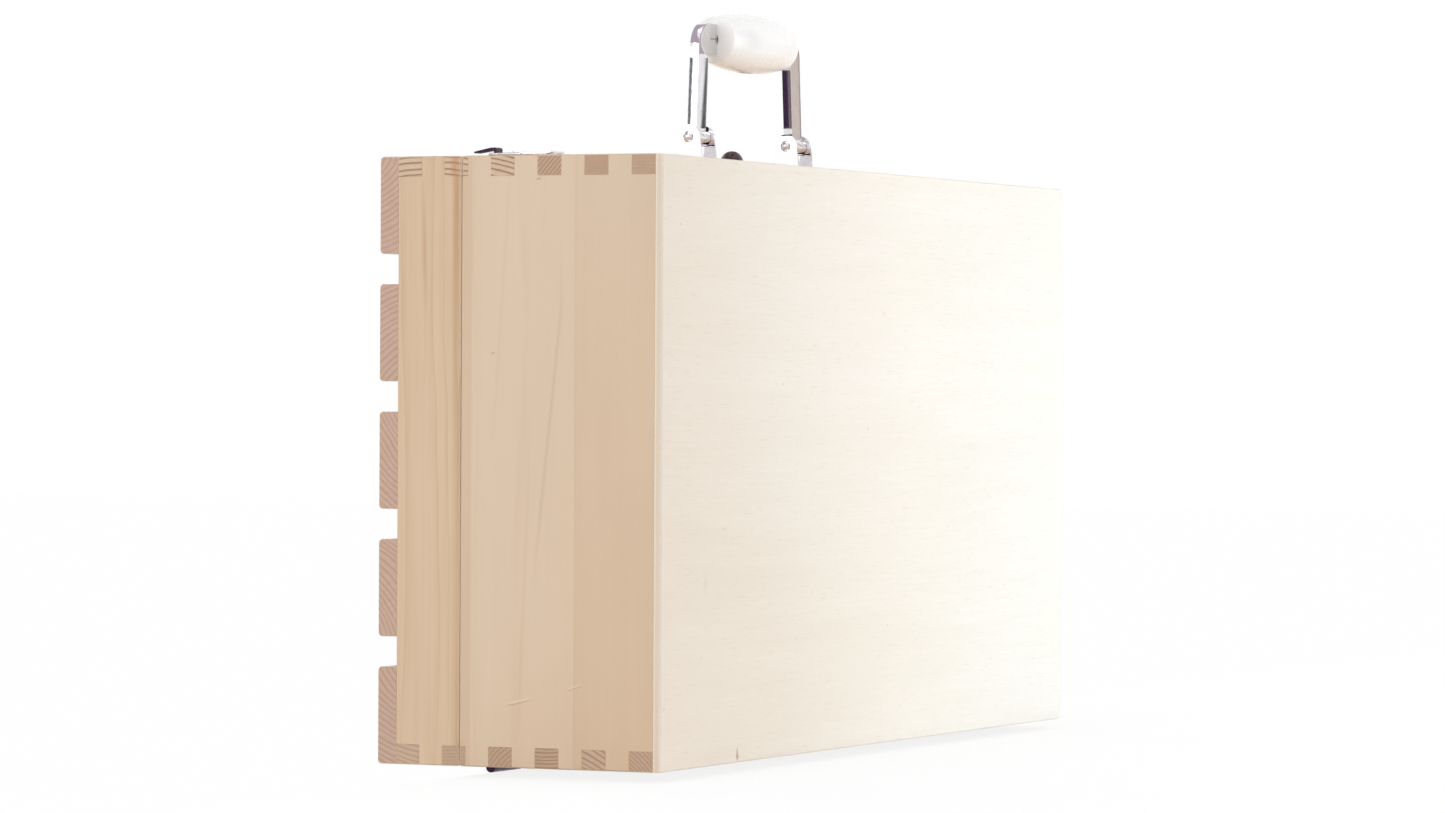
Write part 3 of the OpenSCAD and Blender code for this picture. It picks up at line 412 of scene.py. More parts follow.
def felt(name, base):
    """Pressed wool: matted fibres and small dark and light flecks."""
    m = Mat(name)
    fibre = m.noise(m.pos, 1100.0, 4.0, 0.7, 1.5)
    tangle = m.noise(m.pos, 260.0, 3.0, 0.6, 0.8)
    col = m.mix(m.span(fibre, 0.3, 0.7, 0.0, 0.6), base, scaled(base, 0.72))
    col = m.mix(m.span(tangle, 0.55, 0.75, 0.0, 0.45), col, scaled(base, 1.35, 0.01))
    m.set(Base_Color=col, Roughness=m.span(tangle, 0.3, 0.7, 0.88, 0.98), Sheen_Weight=0.35)
    m.bump(fibre + tangle, 0.5, 0.00016)
    return m.m


def face_mat():
    """A plain doll's face on turned wood: eyes, brows, cheeks and a small smile over a brushed skin tone."""
    m = Mat("paint_face")
    u = HEAD_Y - m.y
    front = m.z > MID + 0.006
    brush = m.noise(m.xyz(m.x, m.y * 0.15, m.z), 380.0, 3.0, 0.6)
    grain = m.noise(m.xyz(m.x, m.y * 0.05, m.z), 520.0, 2.0, 0.6)
    col = m.mix(m.span(brush, 0.3, 0.72, 0.0, 0.5), srgb(236, 196, 166), srgb(226, 178, 146))
    col = m.mix(m.span(grain, 0.55, 0.72, 0.0, 0.25), col, srgb(204, 158, 122))

    def paint(mask, tint, k):
        return m.mix(mask * front * k, col, tint)

    def crescent(x, tilt, soft, outer, inner):
        """What one ellipse shows beyond another: each is (height, half width, half height)."""
        a, b = (m.spot(m.x, u, x, v, wide, high, tilt, soft) for v, wide, high in (outer, inner))
        return m.math("SUBTRACT", a, b, clamp=True)

    for s in SIDES:
        # cheek, white of the eye, iris, pupil, and the light in it
        for x, v, wide, high, tilt, soft, tint, k in (
                (s * 0.0096, -0.0052, 0.0048, 0.0040, 0, 1.0, srgb(222, 120, 104), 0.55),
                (s * 0.0061, 0.0026, 0.00255, 0.0019, s * 0.08, 0.10, srgb(248, 244, 236), 1.0),
                (s * 0.0060, 0.0027, 0.00145, 0.00155, 0, 0.15, srgb(86, 124, 150), 1.0),
                (s * 0.0060, 0.0027, 0.00075, 0.0008, 0, 0.2, srgb(30, 24, 24), 1.0),
                (s * 0.0060 - 0.00045, 0.0033, 0.00032, 0.00032, 0, 0.3, (0.95, 0.95, 0.95), 1.0)):
            col = paint(m.spot(m.x, u, x, v, wide, high, tilt, soft), tint, k)
        lid = crescent(s * 0.0061, s * 0.08, 0.12, (0.0026, 0.00285, 0.00225), (0.0021, 0.00285, 0.00215))
        col = paint(lid, srgb(84, 54, 44), 0.9)
        brow = crescent(s * 0.0062, s * -0.06, 0.14, (0.0046, 0.0034, 0.0030), (0.0038, 0.0036, 0.0031))
        col = paint(brow * (u > 0.0052), srgb(120, 80, 56), 0.85)
    smile = crescent(0.0, 0.0, 0.12, (-0.0060, 0.0040, 0.0030), (-0.0050, 0.0042, 0.0032))
    col = paint(smile * (u < -0.0068), srgb(178, 70, 62), 0.9)
    m.set(Base_Color=col, Roughness=m.span(brush, 0.3, 0.7, 0.34, 0.46), Coat_Weight=0.2, Coat_Roughness=0.2)
    m.bump(brush + grain * 0.5, 0.08, 0.0001)
    return m.m


# ---------- the CAD pieces' materials and machined edges ----------
def pair(*stems):
    return [f"{stem}_{side}" for stem in stems for side in ("right", "left")]


def dress(names, mat):
    for n in names:
        nodes[n].data.materials.clear()
        nodes[n].data.materials.append(mat)


def soften(names, width, segments=2):
    """A small round on the machined edges of a CAD node."""
    for n in names:
        nodes[n].modifiers.new("weld", "WELD").merge_threshold = 0.00001
        ease = nodes[n].modifiers.new("ease", "BEVEL")
        ease.width = width
        ease.segments = segments
        ease.limit_method = "ANGLE"
        ease.angle_limit = radians(32)
        ease.harden_normals = True
        ease.use_clamp_overlap = True


# planks: ring centres, spacing and tone are judged from the way the end grain runs in each finger
PINE = dict(light=PINE_L, dark=PINE_D, end_light=END_L, end_dark=END_D)
RAIL = dict(light=srgb(228, 201, 172), dark=srgb(202, 160, 114), end_light=END_L, end_dark=END_D)
SLAT = dict(light=srgb(229, 205, 178), dark=srgb(196, 156, 114), end_light=srgb(214, 184, 163),
            end_dark=srgb(208, 176, 158), line_dark=srgb(158, 112, 88))
top_planks = [
    (-REACH, -0.045, 0.150, 0.0027, 0.55, 0.08, 1.0), (0.003, 0.062, 0.256, 0.0017, 0.50, 0.72, 0.70),
    (0.0285, 0.100, 0.230, 0.0012, 0.42, 0.84, 0.26), (0.054, 0.068, 0.160, 0.0016, 0.46, 0.76, 0.20)]
bottom_planks = [
    (-REACH, -0.052, 0.06, 0.0024, 0.40, 0.40, 0.50), (-0.0475, -0.035, -0.11, 0.0017, 0.42, 0.66, 0.48),
    (-0.022, 0.030, -0.035, 0.0020, 0.52, 0.76, 0.55), (0.003, 0.016, 0.075, 0.0018, 0.56, 0.72, 1.0),
    (0.0285, 0.012, -0.045, 0.0028, 0.50, 0.42, 0.95), (0.054, 0.040, -0.020, 0.0017, 0.50, 0.62, 0.62)]
end_planks = [(-REACH, -0.050, 0.20, 0.0030, 0.45, 0.6, 0.5), (-0.0330, 0.015, 0.38, 0.0060, 0.62, 0.6, 0.5),
              (REAR_SEAM, 0.050, 0.10, 0.0060, 0.46, 0.6, 0.5)]
far_planks = [(y, cy, -cz, *rest) for y, cy, cz, *rest in end_planks]
near_rail = (-REACH, -0.058, 0.235, 0.0025, 0.50, 0.4, 0.5)
far_rail = (-REACH, -0.050, -0.20, 0.0034, 0.50, 0.4, 0.5)
block_plank = (-REACH, 0.3, 0.12, 0.0024, 0.5, 0.6, 0.5)

dress(["body_top_board", "lid_top_rail"], wood("pine_top", "X", top_planks, 1, marks=top_board_marks, **PINE))
dress(["body_bottom_board", "lid_bottom_rail"], wood("pine_bottom", "X", bottom_planks, 2, **PINE))
dress(["body_right_end"],
      wood("pine_end_right", "Z", end_planks, 3, streak=0.22, face_amp=0.10, marks=end_board_marks, **PINE))
dress(["body_left_end"], wood("pine_end_left", "Z", far_planks, 4, streak=0.28, face_amp=0.16, **PINE))
dress(["lid_right_rail"],
      wood("pine_lid_right", "Z", [near_rail], 5, streak=0.85, face_amp=0.40, marks=lid_rail_marks, **RAIL))
dress(["lid_left_rail"], wood("pine_lid_left", "Z", [far_rail], 6, streak=0.55, face_amp=0.30, **RAIL))
SLAT_H, SLAT_PITCH, SLAT_Y = 0.048, 0.063, -0.0718
# each slat's ring centre in y and z, from the slat's own middle
CORES = (0.020, 0.030), (-0.030, -0.028), (0.034, 0.035), (0.028, -0.045), (-0.020, 0.030)
for i, (dy, dz) in enumerate(CORES):
    middle = BASE + SLAT_H / 2 + i * SLAT_PITCH
    plank = (-REACH, SLAT_Y + dy, middle + dz, 0.0026, 0.45 + 0.05 * (i % 3), 0.9, 0.42)
    dress([f"slat_{i + 1}"], wood(f"pine_slat_{i + 1}", "X", [plank], 10 + i, face_amp=0.34, **SLAT))
dress(["back_panel"], ply())
dress(["spring_block_board"], wood("pine_block", "X", [block_plank], 21, **PINE))

dark_steel = metal("dark_steel", (0.036, 0.013, 0.036), 0.30, 0.10, (0.14, 0.10, 0.13), 0.35, metallic=0.8)
nickel = metal("nickel", (0.83, 0.81, 0.83), 0.045, 0.02, (0.55, 0.50, 0.53), 0.18, axis="Z")
nickel_x = metal("nickel_rolled", (0.80, 0.775, 0.80), 0.09, 0.05, (0.50, 0.46, 0.48), 0.22)
wire = metal("spring_steel", (0.56, 0.56, 0.58), 0.26, 0.14, (0.30, 0.27, 0.25), 0.3)
zinc = metal("zinc_steel", (0.66, 0.67, 0.68), 0.32, 0.16, (0.48, 0.50, 0.50), 0.5)
red = painted("paint_red", srgb(190, 62, 50))
skin = painted("paint_skin", srgb(232, 190, 160), wear=0.3, rough=0.42)
blue_cloth = woven("cloth_blue", srgb(54, 92, 150), srgb(84, 124, 178))
cream_cloth = woven("cloth_cream", srgb(236, 226, 204), srgb(214, 200, 172))
gold_cloth = woven("cloth_gold", srgb(214, 166, 66), srgb(184, 136, 48))
red_felt = felt("felt_red", srgb(178, 54, 46))

dress(pair("hinge_body_leaf", "hinge_lid_leaf", "catch_keeper") + ["hinge_pins"], dark_steel)
dress(pair("catch_base", "catch_lever", "catch_loop"), nickel_x)
dress(["catch_pins", "button_bezel", "handle_rivets"], nickel_x)
dress(pair("handle_bracket", "handle_post"), nickel)
dress(["handle_rod", "latch_pin"], wire)
dress(["latch_bracket", "latch_lever", "lid_strike"], zinc)
dress(["rear_feet"], plastic("foot_rubber", (0.030, 0.029, 0.029), 0.72, 0.35, 0.25))
dress(["release_button"], plastic("button_plastic", srgb(52, 22, 26), 0.26, 0.25, 0.02, coat=0.15))
dress(["handle_grip"], lacquer())

soften(pair("handle_post"), 0.0016, 5)
soften(pair("handle_bracket"), 0.00035)
soften(pair("catch_keeper", "catch_lever", "catch_base"), 0.00018)
soften([f"slat_{i + 1}" for i in range(5)] + ["back_panel", "rear_feet"], 0.0005)
soften(["body_right_end", "body_left_end", "body_top_board", "body_bottom_board",
        "lid_right_rail", "lid_left_rail", "lid_top_rail", "lid_bottom_rail"], 0.00022)
soften(["handle_grip"], 0.0015, 3)


# ---------- pieces made in code ----------
def grid(rings, n):
    """Faces that join closed rings of n points, one to the next."""
    return [(i * n + j, i * n + (j + 1) % n, (i + 1) * n + (j + 1) % n, (i + 1) * n + j)
            for i in range(rings - 1) for j in range(n)]


def link(name, data):
    o = bpy.data.objects.new(name, data)
    scene.collection.objects.link(o)
    return o


def mesh_obj(name, verts, faces, mats, smooth=False, slots=None):
    me = bpy.data.meshes.new(name)
    me.from_pydata([tuple(v) for v in verts], [], faces)
    me.update()
    for mat in mats if isinstance(mats, list) else [mats]:
        me.materials.append(mat)
    if slots:
        me.polygons.foreach_set("material_index", slots)
    me.polygons.foreach_set("use_smooth", [smooth] * len(me.polygons))
    return link(name, me)


class Build:
    """Collects several closed shells into one mesh."""

    def __init__(self):
        self.v, self.f, self.s = [], [], []

    def add(self, verts, faces, slot=0):
        k = len(self.v)
        self.v += [tuple(v) for v in verts]
        self.f += [tuple(k + i for i in f) for f in faces]
        self.s += [slot] * len(faces)

    def rings(self, rings, slot=0, caps=True):
        """Joins rings of equal length, each a list of points."""
        m, n = len(rings), len(rings[0])
        ends = [tuple(range(n - 1, -1, -1)), tuple((m - 1) * n + j for j in range(n))] if caps else []
        self.add([p for r in rings for p in r], grid(m, n) + ends, slot)

    def lathe(self, profile, place, segs, slot=0, wave=None):
        """profile: (radius, height) pairs; place turns (x, y, height) into the frame; wave(angle, i) scales
        the radius."""
        rings, angles = [], [tau * j / segs for j in range(segs)]
        for i, (r, h) in enumerate(profile):
            sizes = [r * (wave(t, i) if wave else 1.0) for t in angles]
            rings.append([place(q * cos(t), q * sin(t), h) for t, q in zip(angles, sizes)])
        self.rings(rings, slot)

    def ball(self, centre, radii, segs, rows, slot=0, turn=None, bump=None):
        """An ellipsoid; turn is a rotation matrix and bump(direction) scales the radius."""
        c, rings = Vector(centre), []
        for i in range(rows + 1):
            p = pi * i / rows
            ring = []
            for j in range(segs):
                t = tau * j / segs
                d = Vector((sin(p) * cos(t), sin(p) * sin(t), cos(p)))
                q = Vector((d.x * radii[0], d.y * radii[1], d.z * radii[2])) * (bump(d) if bump else 1.0)
                ring.append(c + (turn @ q if turn else q))
            rings.append(ring)
        v = [rings[0][0]] + [p for r in rings[1:-1] for p in r] + [rings[-1][0]]
        f = [(0, 1 + j, 1 + (j + 1) % segs) for j in range(segs)]
        for i in range(rows - 2):
            a, b = 1 + i * segs, 1 + (i + 1) * segs
            f += [(a + j, b + j, b + (j + 1) % segs, a + (j + 1) % segs) for j in range(segs)]
        last, e = len(v) - 1, 1 + (rows - 2) * segs
        f += [(last, e + (j + 1) % segs, e + j) for j in range(segs)]
        self.add(v, f, slot)

    def tube(self, pts, radius, sides):
        """A round cord through the points, without caps."""
        pts = [Vector(p) for p in pts]
        up, rings = None, []
        for i, p in enumerate(pts):
            t = (pts[min(i + 1, len(pts) - 1)] - pts[max(i - 1, 0)]).normalized()
            if up is None:
                up = t.orthogonal().normalized()
            up = (up - t * up.dot(t)).normalized()
            side = t.cross(up)
            rings.append([p + (up * cos(tau * j / sides) + side * sin(tau * j / sides)) * radius
                          for j in range(sides)])
        self.rings(rings, caps=False)

    def make(self, name, mats, angle=35, merge=0.0):
        """The mesh, smooth up to an angle in degrees; points closer than merge become one."""
        o = mesh_obj(name, self.v, self.f, mats, True, self.s)
        bm = bmesh.new()
        bm.from_mesh(o.data)
        bmesh.ops.recalc_face_normals(bm, faces=bm.faces)
        for e in bm.edges:
            e.smooth = len(e.link_faces) != 2 or e.calc_face_angle(0.0) < radians(angle)
        if merge:
            bmesh.ops.remove_doubles(bm, verts=bm.verts, dist=merge)
        bm.to_mesh(o.data)
        bm.free()
        return o


def stands(o, body, *names):
    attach(o, body)
    if names:
        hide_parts(*names)
    return o


# screws
def screw_shell(b, pos, down, head, shank, length):
    """A countersunk screw: a domed head with a cross recess, a cone, a threaded shank and a point."""
    s = -1.0 if down else 1.0
    place = lambda x, y, h: (pos[0] + x, pos[1] + s * y, pos[2] + s * h)
    r, q, n, sunk = head / 2, shank / 2, 40, -0.00004
    circle = lambda k: [(k * cos(tau * i / n), k * sin(tau * i / n)) for i in range(n)]
    # the top, between its rim and the cross
    w, a = r * 0.115, r * 0.60
    plus = [(w, w), (w, a), (-w, a), (-w, w), (-a, w), (-a, -w),
            (-w, -w), (-w, -a), (w, -a), (w, -w), (a, -w), (a, w)]
    rim = circle(0.90 * r)
    flat = [Vector((x, y, 0)) for x, y in rim + plus]
    b.add([place(x, y, 0.0) for x, y in rim] + [place(x, y, sunk) for x, y in plus],
          [tuple(t) for t in tessellate_polygon([flat[:n], flat[n:]])])
    # the recess
    k = len(plus)
    b.add([place(x, y, sunk) for x, y in plus] + [place(x * 0.62, y * 0.62, -r * 0.42) for x, y in plus],
          grid(2, k) + [tuple(range(k, 2 * k))])
    # the head's side, the thread and the point
    core, h, pitch = q * 0.72, q - r - 0.0012, shank * 0.42
    prof = [(0.90 * r, 0.0), (0.975 * r, -0.00009), (r, -0.00025), (r, -0.00035),
            (q * 1.02, q - r - 0.0003), (q * 1.02, h)]
    while h - pitch > -length + shank:
        prof += [(k, h - pitch * part) for k, part in ((core, 0.30), (core, 0.60), (q, 0.78), (q, 0.88))]
        h -= pitch
    prof += [(core, h - pitch * 0.2), (q * 0.45, -length + shank * 0.35), (0.00012, -length)]
    last = (len(prof) - 1) * n
    b.add([place(x, y, h) for k, h in prof for x, y in circle(k)],
          grid(len(prof), n) + [tuple(range(last, last + n))])


def four(x, dx, y, z):
    """Two places side by side on each side of the case."""
    return [(s * x + t * dx, y, z) for s in SIDES for t in SIDES]


HINGE_X, CATCH_X, BRACKET_X = 0.218, 0.224, 0.063
# heights of the faces that the screws' heads lie in
HINGE_Z, CATCH_Z, BRACKET_Z, LATCH_Z = 0.0040, TOP + 0.0008, TOP + 0.0015, 0.2937
# each screw: its head's and its shank's diameter, and its length
HINGE_SCREW, CATCH_SCREW = (0.0046, 0.0024, 0.009), (0.0036, 0.0019, 0.007)
BRACKET_SCREW, LATCH_SCREW = (0.005, 0.003, 0.009), (0.004, 0.0022, 0.008)
for stem, body, down, size, mat, places in (
        ("hinge_body", "case", True, HINGE_SCREW, dark_steel, four(HINGE_X, 0.00896, -0.02201, HINGE_Z)),
        ("hinge_lid", "lid", True, HINGE_SCREW, dark_steel, four(HINGE_X, 0.00896, -0.04309, HINGE_Z)),
        ("catch_base", "case", False, CATCH_SCREW, nickel_x,
         [(s * CATCH_X, y, CATCH_Z) for s in SIDES for y in (-0.01335, -0.00535)]),
        ("catch_keeper", "lid", False, CATCH_SCREW, dark_steel, four(CATCH_X, 0.0057, -0.04335, CATCH_Z)),
        ("handle_bracket", "case", False, BRACKET_SCREW, nickel_x, four(BRACKET_X, 0.0135, 0.0, BRACKET_Z)),
        ("latch_bracket", "case", True, LATCH_SCREW, zinc, [(s * 0.0095, -0.02205, LATCH_Z) for s in SIDES]),
        ("lid_strike", "lid", True, LATCH_SCREW, zinc, [(s * 0.0065, -0.05355, LATCH_Z) for s in SIDES])):
    b = Build()
    for p in places:
        screw_shell(b, p, down, *size)
    stands(b.make(stem + "_cross_screws", mat, 28, 0.000002), body, stem + "_screws")


# springs
def coil(node, name, centre, axis, radius, wire_r, turns, start, length):
    """A wire spring: its mesh is the wire's middle line, which a node tree sweeps with a round section."""
    per_turn, pts = 40, []
    n = turns * per_turn
    for i in range(n + 1):
        t = tau * i / per_turn
        x, other, h = centre[0] + radius * cos(t), centre[1] + radius * sin(t), start + length * i / n
        pts.append((x, h, other) if axis == "Y" else (x, other, h))
    me = bpy.data.meshes.new(name)
    me.from_pydata(pts, [(i, i + 1) for i in range(n)], [])
    me.materials.append(wire)
    o = link(name, me)
    g = bpy.data.node_groups.new(name + "_wire", "GeometryNodeTree")
    for way in ("INPUT", "OUTPUT"):
        g.interface.new_socket("Geometry", in_out=way, socket_type="NodeSocketGeometry")
    given, line, circle, sweep, smooth, dressed, result = (g.nodes.new(kind) for kind in (
        "NodeGroupInput", "GeometryNodeMeshToCurve", "GeometryNodeCurvePrimitiveCircle",
        "GeometryNodeCurveToMesh", "GeometryNodeSetShadeSmooth", "GeometryNodeSetMaterial",
        "NodeGroupOutput"))
    circle.inputs["Resolution"].default_value = 12
    circle.inputs["Radius"].default_value = wire_r
    sweep.inputs["Fill Caps"].default_value = True
    dressed.inputs["Material"].default_value = wire
    for source, to in ((given, line.inputs["Mesh"]), (line, sweep.inputs["Curve"]),
                       (circle, sweep.inputs["Profile Curve"]), (sweep, smooth.inputs[0]),
                       (smooth, dressed.inputs["Geometry"]), (dressed, result.inputs[0])):
        g.links.new(source.outputs[0], to)
    o.modifiers.new("wire", "NODES").node_group = g
    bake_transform(o)
    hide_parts(node)


coil("jack_spring", "jack_spring_coil", (0.0, MID), "Y", 0.0287, 0.00128, 11,
     0.06135, -0.0311)
coil("button_spring", "button_spring_coil", (0.0, -0.0079), "Z", 0.00545, 0.0004, 3,
     0.2971, 0.0052)

# ---------- the jack: up is towards the lid (-Y), its face looks up (+Z) ----------
PLATFORM_Y, HAT_Y, ARM_Y = 0.02885, -0.04115, 0.00485
away = lambda x, f, h: (x, PLATFORM_Y - h, MID + f)
hat = lambda x, f, h: (x, HAT_Y - h, MID + f)

b = Build()
b.lathe([(0.0395, 0.0), (0.0413, 0.0004), (0.0420, 0.0014), (0.0420, 0.0021), (0.0414, 0.0026),
         (0.0414, 0.0034), (0.0420, 0.0039), (0.0420, 0.0047), (0.0413, 0.0056), (0.0395, 0.0060),
         (0.0335, 0.0060), (0.0330, 0.0057), (0.0322, 0.0057), (0.0317, 0.0060)], away, 96)
stands(b.make("jack_turned_platform", red), "jack", "jack_platform")

# the gown: a flared cloth with folds that die out at the gathered neck
HEM_R, WAIST_R, NECK_R, WAIST = 0.0296, 0.0215, 0.0112, 0.55  # radii, and the waist's share of the height
HEM_H, GOWN_H = 0.0063, 0.0290
rows, cols = 26, 168
v = []
for i in range(rows + 1):
    t = i / rows
    if t < WAIST:
        r0 = HEM_R + (WAIST_R - HEM_R) * (t / WAIST)
    else:
        r0 = WAIST_R + (NECK_R - WAIST_R) * ((t - WAIST) / (1 - WAIST)) ** 0.85
    r0 -= 0.0012 * sin(pi * min(1.0, t / WAIST)) + (0.0017 if t < 0.9 else 0.0012)
    for j in range(cols):
        th = tau * j / cols
        fold = cos(12 * th + 0.5 * sin(3 * th)) * 0.7 + 0.3 * cos(24 * th + 1.3)
        depth = 0.0017 * (1 - 0.55 * t) * (0.6 + 0.4 * sin(5 * th + 1.0) ** 2)
        gather = 0.00045 * cos(42 * th) * max(0.0, (t - 0.6) / 0.4)
        r = r0 + fold * depth + gather
        h = HEM_H + GOWN_H * t + 0.0005 * sin(12 * th + 0.4) * (1 - t)
        v.append(away(r * cos(th), r * sin(th), h))
gown = stands(mesh_obj("jack_gown_cloth", v, grid(rows + 1, cols), blue_cloth, True), "jack", "jack_gown")

b = Build()
b.tube([(x * 1.006, y - 0.0001, MID + (z - MID) * 1.006) for x, y, z in v[:cols] + v[:1]], 0.0006, 8)
stands(b.make("jack_gown_piping", gold_cloth), "jack")

# the ruff: one strip of cloth in figure-of-eight folds
rows, cols = 10, 216
v = []
for i in range(rows + 1):
    t = i / rows
    for j in range(cols):
        th = tau * j / cols
        r = 0.0085 + 0.0122 * t - 0.0002 * cos(36 * th)
        turn = th + 0.035 * t * cos(18 * th)
        v.append(away(r * cos(turn), r * sin(turn), 0.0380 + sin(18 * th) * 0.0017 * min(1.0, t * 1.6)))
ruff = stands(mesh_obj("jack_ruff_cloth", v, grid(rows + 1, cols), cream_cloth, True), "jack", "jack_collar")


# flat was fitted to these two meshes afterwards, as a circle and a strip, and area is each mesh's own, so the
# two areas agree only because a mesh is compared with itself. Neither cut could be sewn to this shape.
for o in (gown, ruff):
    cloth = o.modifiers.new("cloth_thickness", "SOLIDIFY")
    cloth.thickness = 0.00035
    cloth.offset = -1.0

# the head: turned wood with a plain doll's relief
# hills: degrees to the side and upwards, width and height as shares of the head's radius
RELIEF = ((0, -7, 0.15, 0.105), (0, 3, 0.10, 0.025),        # nose and its bridge
          (33, -20, 0.30, 0.035), (-33, -20, 0.30, 0.035),  # cheeks
          (19, 9, 0.17, -0.035), (-19, 9, 0.17, -0.035),    # sockets
          (0, -47, 0.22, 0.035), (0, -34, 0.10, -0.018), (0, -27, 0.10, 0.012))  # chin, the dip over it, lip
HEAD_R = 0.0192


def face_form(d):
    """d: x to the side, y towards the crown of the head, z to the front."""
    k = 1.0 - 0.025 * max(0.0, -d.y) ** 2
    for az, el, wide, high in RELIEF:
        az, el = radians(az), radians(el)
        c = Vector((sin(az) * cos(el), sin(el), cos(az) * cos(el)))
        k += high * exp(-((d - c).length / wide) ** 2)
    return k


b = Build()
n_seg, n_row = 128, 80
rings = []
for i in range(n_row + 1):
    p = pi * (0.10 + 0.80 * i / n_row)
    ring = []
    for j in range(n_seg):
        t = tau * j / n_seg
        d = Vector((sin(p) * sin(t), -cos(p), sin(p) * cos(t)))
        q = d * HEAD_R * face_form(d)
        ring.append((q.x, HEAD_Y - q.y, MID + q.z))
    rings.append(ring)
b.rings(rings)
for s in SIDES:
    lean = Matrix.Rotation(radians(s * 20), 3, "Z")
    b.ball((s * 0.0191, HEAD_Y + 0.0005, MID - 0.001), (0.0022, 0.0040, 0.0028), 24, 14, turn=lean)
    b.ball((s * 0.0203, HEAD_Y + 0.0006, MID - 0.0002), (0.0012, 0.0026, 0.0018), 18, 10, turn=lean)
stands(b.make("jack_turned_head", face_mat(), 60), "jack", "jack_head")

# the hat: felt cone with a rolled brim, a band and a yarn bobble
b = Build()
turns = (radians(200 - 30 * k) for k in range(11))
roll = [(0.0148 + 0.0022 * cos(q), 0.0022 + 0.0019 * sin(q)) for q in turns]
cone = [(0.0138, 0.0030), (0.0132, 0.0062), (0.0118, 0.0085), (0.0101, 0.0108),
        (0.0082, 0.0130), (0.0062, 0.0152), (0.0042, 0.0168), (0.0024, 0.0178)]
sag = lambda t, i: 1.0 + (0.030 * sin(3 * t + 0.7 * i) + 0.018 * sin(5 * t - i) if i > 12 else 0.0)
b.lathe(roll + cone, hat, 96, wave=sag)
b.lathe([(0.0134, 0.0036), (0.0142, 0.0040), (0.0142, 0.0062), (0.0134, 0.0066)], hat, 96, slot=1)
stands(b.make("jack_felt_hat", [red_felt, gold_cloth], 50), "jack", "jack_hat")


def yarn(d):
    tufts = sin(17 * d.x + 3 * d.y) * sin(19 * d.y + 2) * sin(15 * d.z + 1)
    strands = sin(41 * d.x + 1) * sin(37 * d.y + 2) * sin(43 * d.z)
    return 1.0 + 0.07 * tufts + 0.05 * strands


b = Build()
b.ball((0, -0.0621, MID), (0.00375, 0.00375, 0.00375), 64, 40, bump=yarn)
stands(b.make("jack_hat_bobble", cream_cloth, 80), "jack")

# the arms: sleeves with soft creases, cuffs and mitten hands with thumbs
creases = lambda t, i: 1.0 + 0.035 * sin(3 * t + i * 0.55) + 0.02 * sin(7 * t - i * 0.3)
frill = lambda t, i: 1.0 + 0.035 * cos(14 * t)
sleeve_form = [(0.0041 + 0.0009 * sin(pi * t) - 0.0006 * t + 0.00022 * sin(34 * t) * (0.4 + t),
                0.0075 + 0.0285 * t) for t in (i / 32 for i in range(33))]
cuff_form = [(0.0036, 0.0345), (0.0050, 0.0348), (0.0055, 0.0356), (0.0055, 0.0368), (0.0050, 0.0376),
             (0.0036, 0.0378)]
b = Build()
for s in SIDES:
    arm = lambda x, f, h: (s * h, ARM_Y + x, MID + f)
    b.lathe(sleeve_form, arm, 40, wave=creases)
    b.lathe(cuff_form, arm, 48, slot=1, wave=frill)
    b.ball((s * 0.0424, ARM_Y, MID), (0.0058, 0.0044, 0.0036), 32, 20, slot=2,
           bump=lambda d: 1.0 - 0.10 * max(0.0, -d.x * s) ** 2)
    b.ball((s * 0.0402, ARM_Y - 0.0038, MID + 0.0008), (0.0032, 0.0016, 0.0015), 20, 12, slot=2,
           turn=Matrix.Rotation(radians(-s * 38), 3, "Z"))
stands(b.make("jack_sleeves_and_hands", [blue_cloth, cream_cloth, skin], 60), "jack", "jack_arms")

# ---------- camera: as fitted to nine corners of the case in the photo ----------
FOCAL_PX, PHOTO_PX = 5900.0, 1445.0  # the lens and the photo's width, in pixels
AZIMUTH, ELEVATION, ROLL = 114.241, 0.177, 0.288
EYE = Vector((2.860487, 1.275452, 0.191583))
a, e, r = (radians(v) for v in (AZIMUTH, ELEVATION, ROLL))
back = Vector((sin(a) * cos(e), -cos(a) * cos(e), sin(e)))
right = Vector((cos(a), sin(a), 0))
up = back.cross(right)
cam_data = bpy.data.cameras.new("camera")
cam_data.sensor_fit = "HORIZONTAL"
cam_data.sensor_width = 36.0
cam_data.lens = 36.0 * FOCAL_PX / PHOTO_PX
cam_data.clip_start = 0.05
cam_data.clip_end = 60.0
cam = link("camera", cam_data)
turned = Matrix((cos(r) * right + sin(r) * up, -sin(r) * right + cos(r) * up, back)).transposed()
cam.matrix_world = Matrix.Translation(EYE) @ turned.to_4x4()
scene.camera = cam


# ---------- stage: the front edge of a table, so that the lid can drop, and a floor below it ----------
def floor_material():
    """Pale floor: white to the camera and to glossy rays, less so round the case's foot, where the real
    shadow shows and painted shade darkens it a little.
    """
    m = Mat("pale_floor", "ShaderNodeMixShader")
    plain = m.mix(m.span(m.noise(m.pos, 30.0), 0.3, 0.7), (0.93, 0.93, 0.93), (0.90, 0.90, 0.90))
    foot_y, foot_half = 0.0216, 0.0552  # middle and half depth of the body's foot
    dx = m.most(abs(m.x) - HALF_L, 0.0)
    dy = m.most(abs(m.y - foot_y) - foot_half, 0.0)
    # painted shade round the foot: the camera's white fades there, which also lets the real shadow through
    white = m.seen() * m.span(m.hypot(dx, dy), 0.0, 0.30, 0.86, 0.985)
    matt = m.node("ShaderNodeBsdfDiffuse", (plain,))
    bright = m.node("ShaderNodeEmission", ((1, 1, 1), 1.0))
    for socket, value in zip(m.shader.socket.node.inputs, (white, matt, bright)):
        m.put(socket, value)
    return m.m


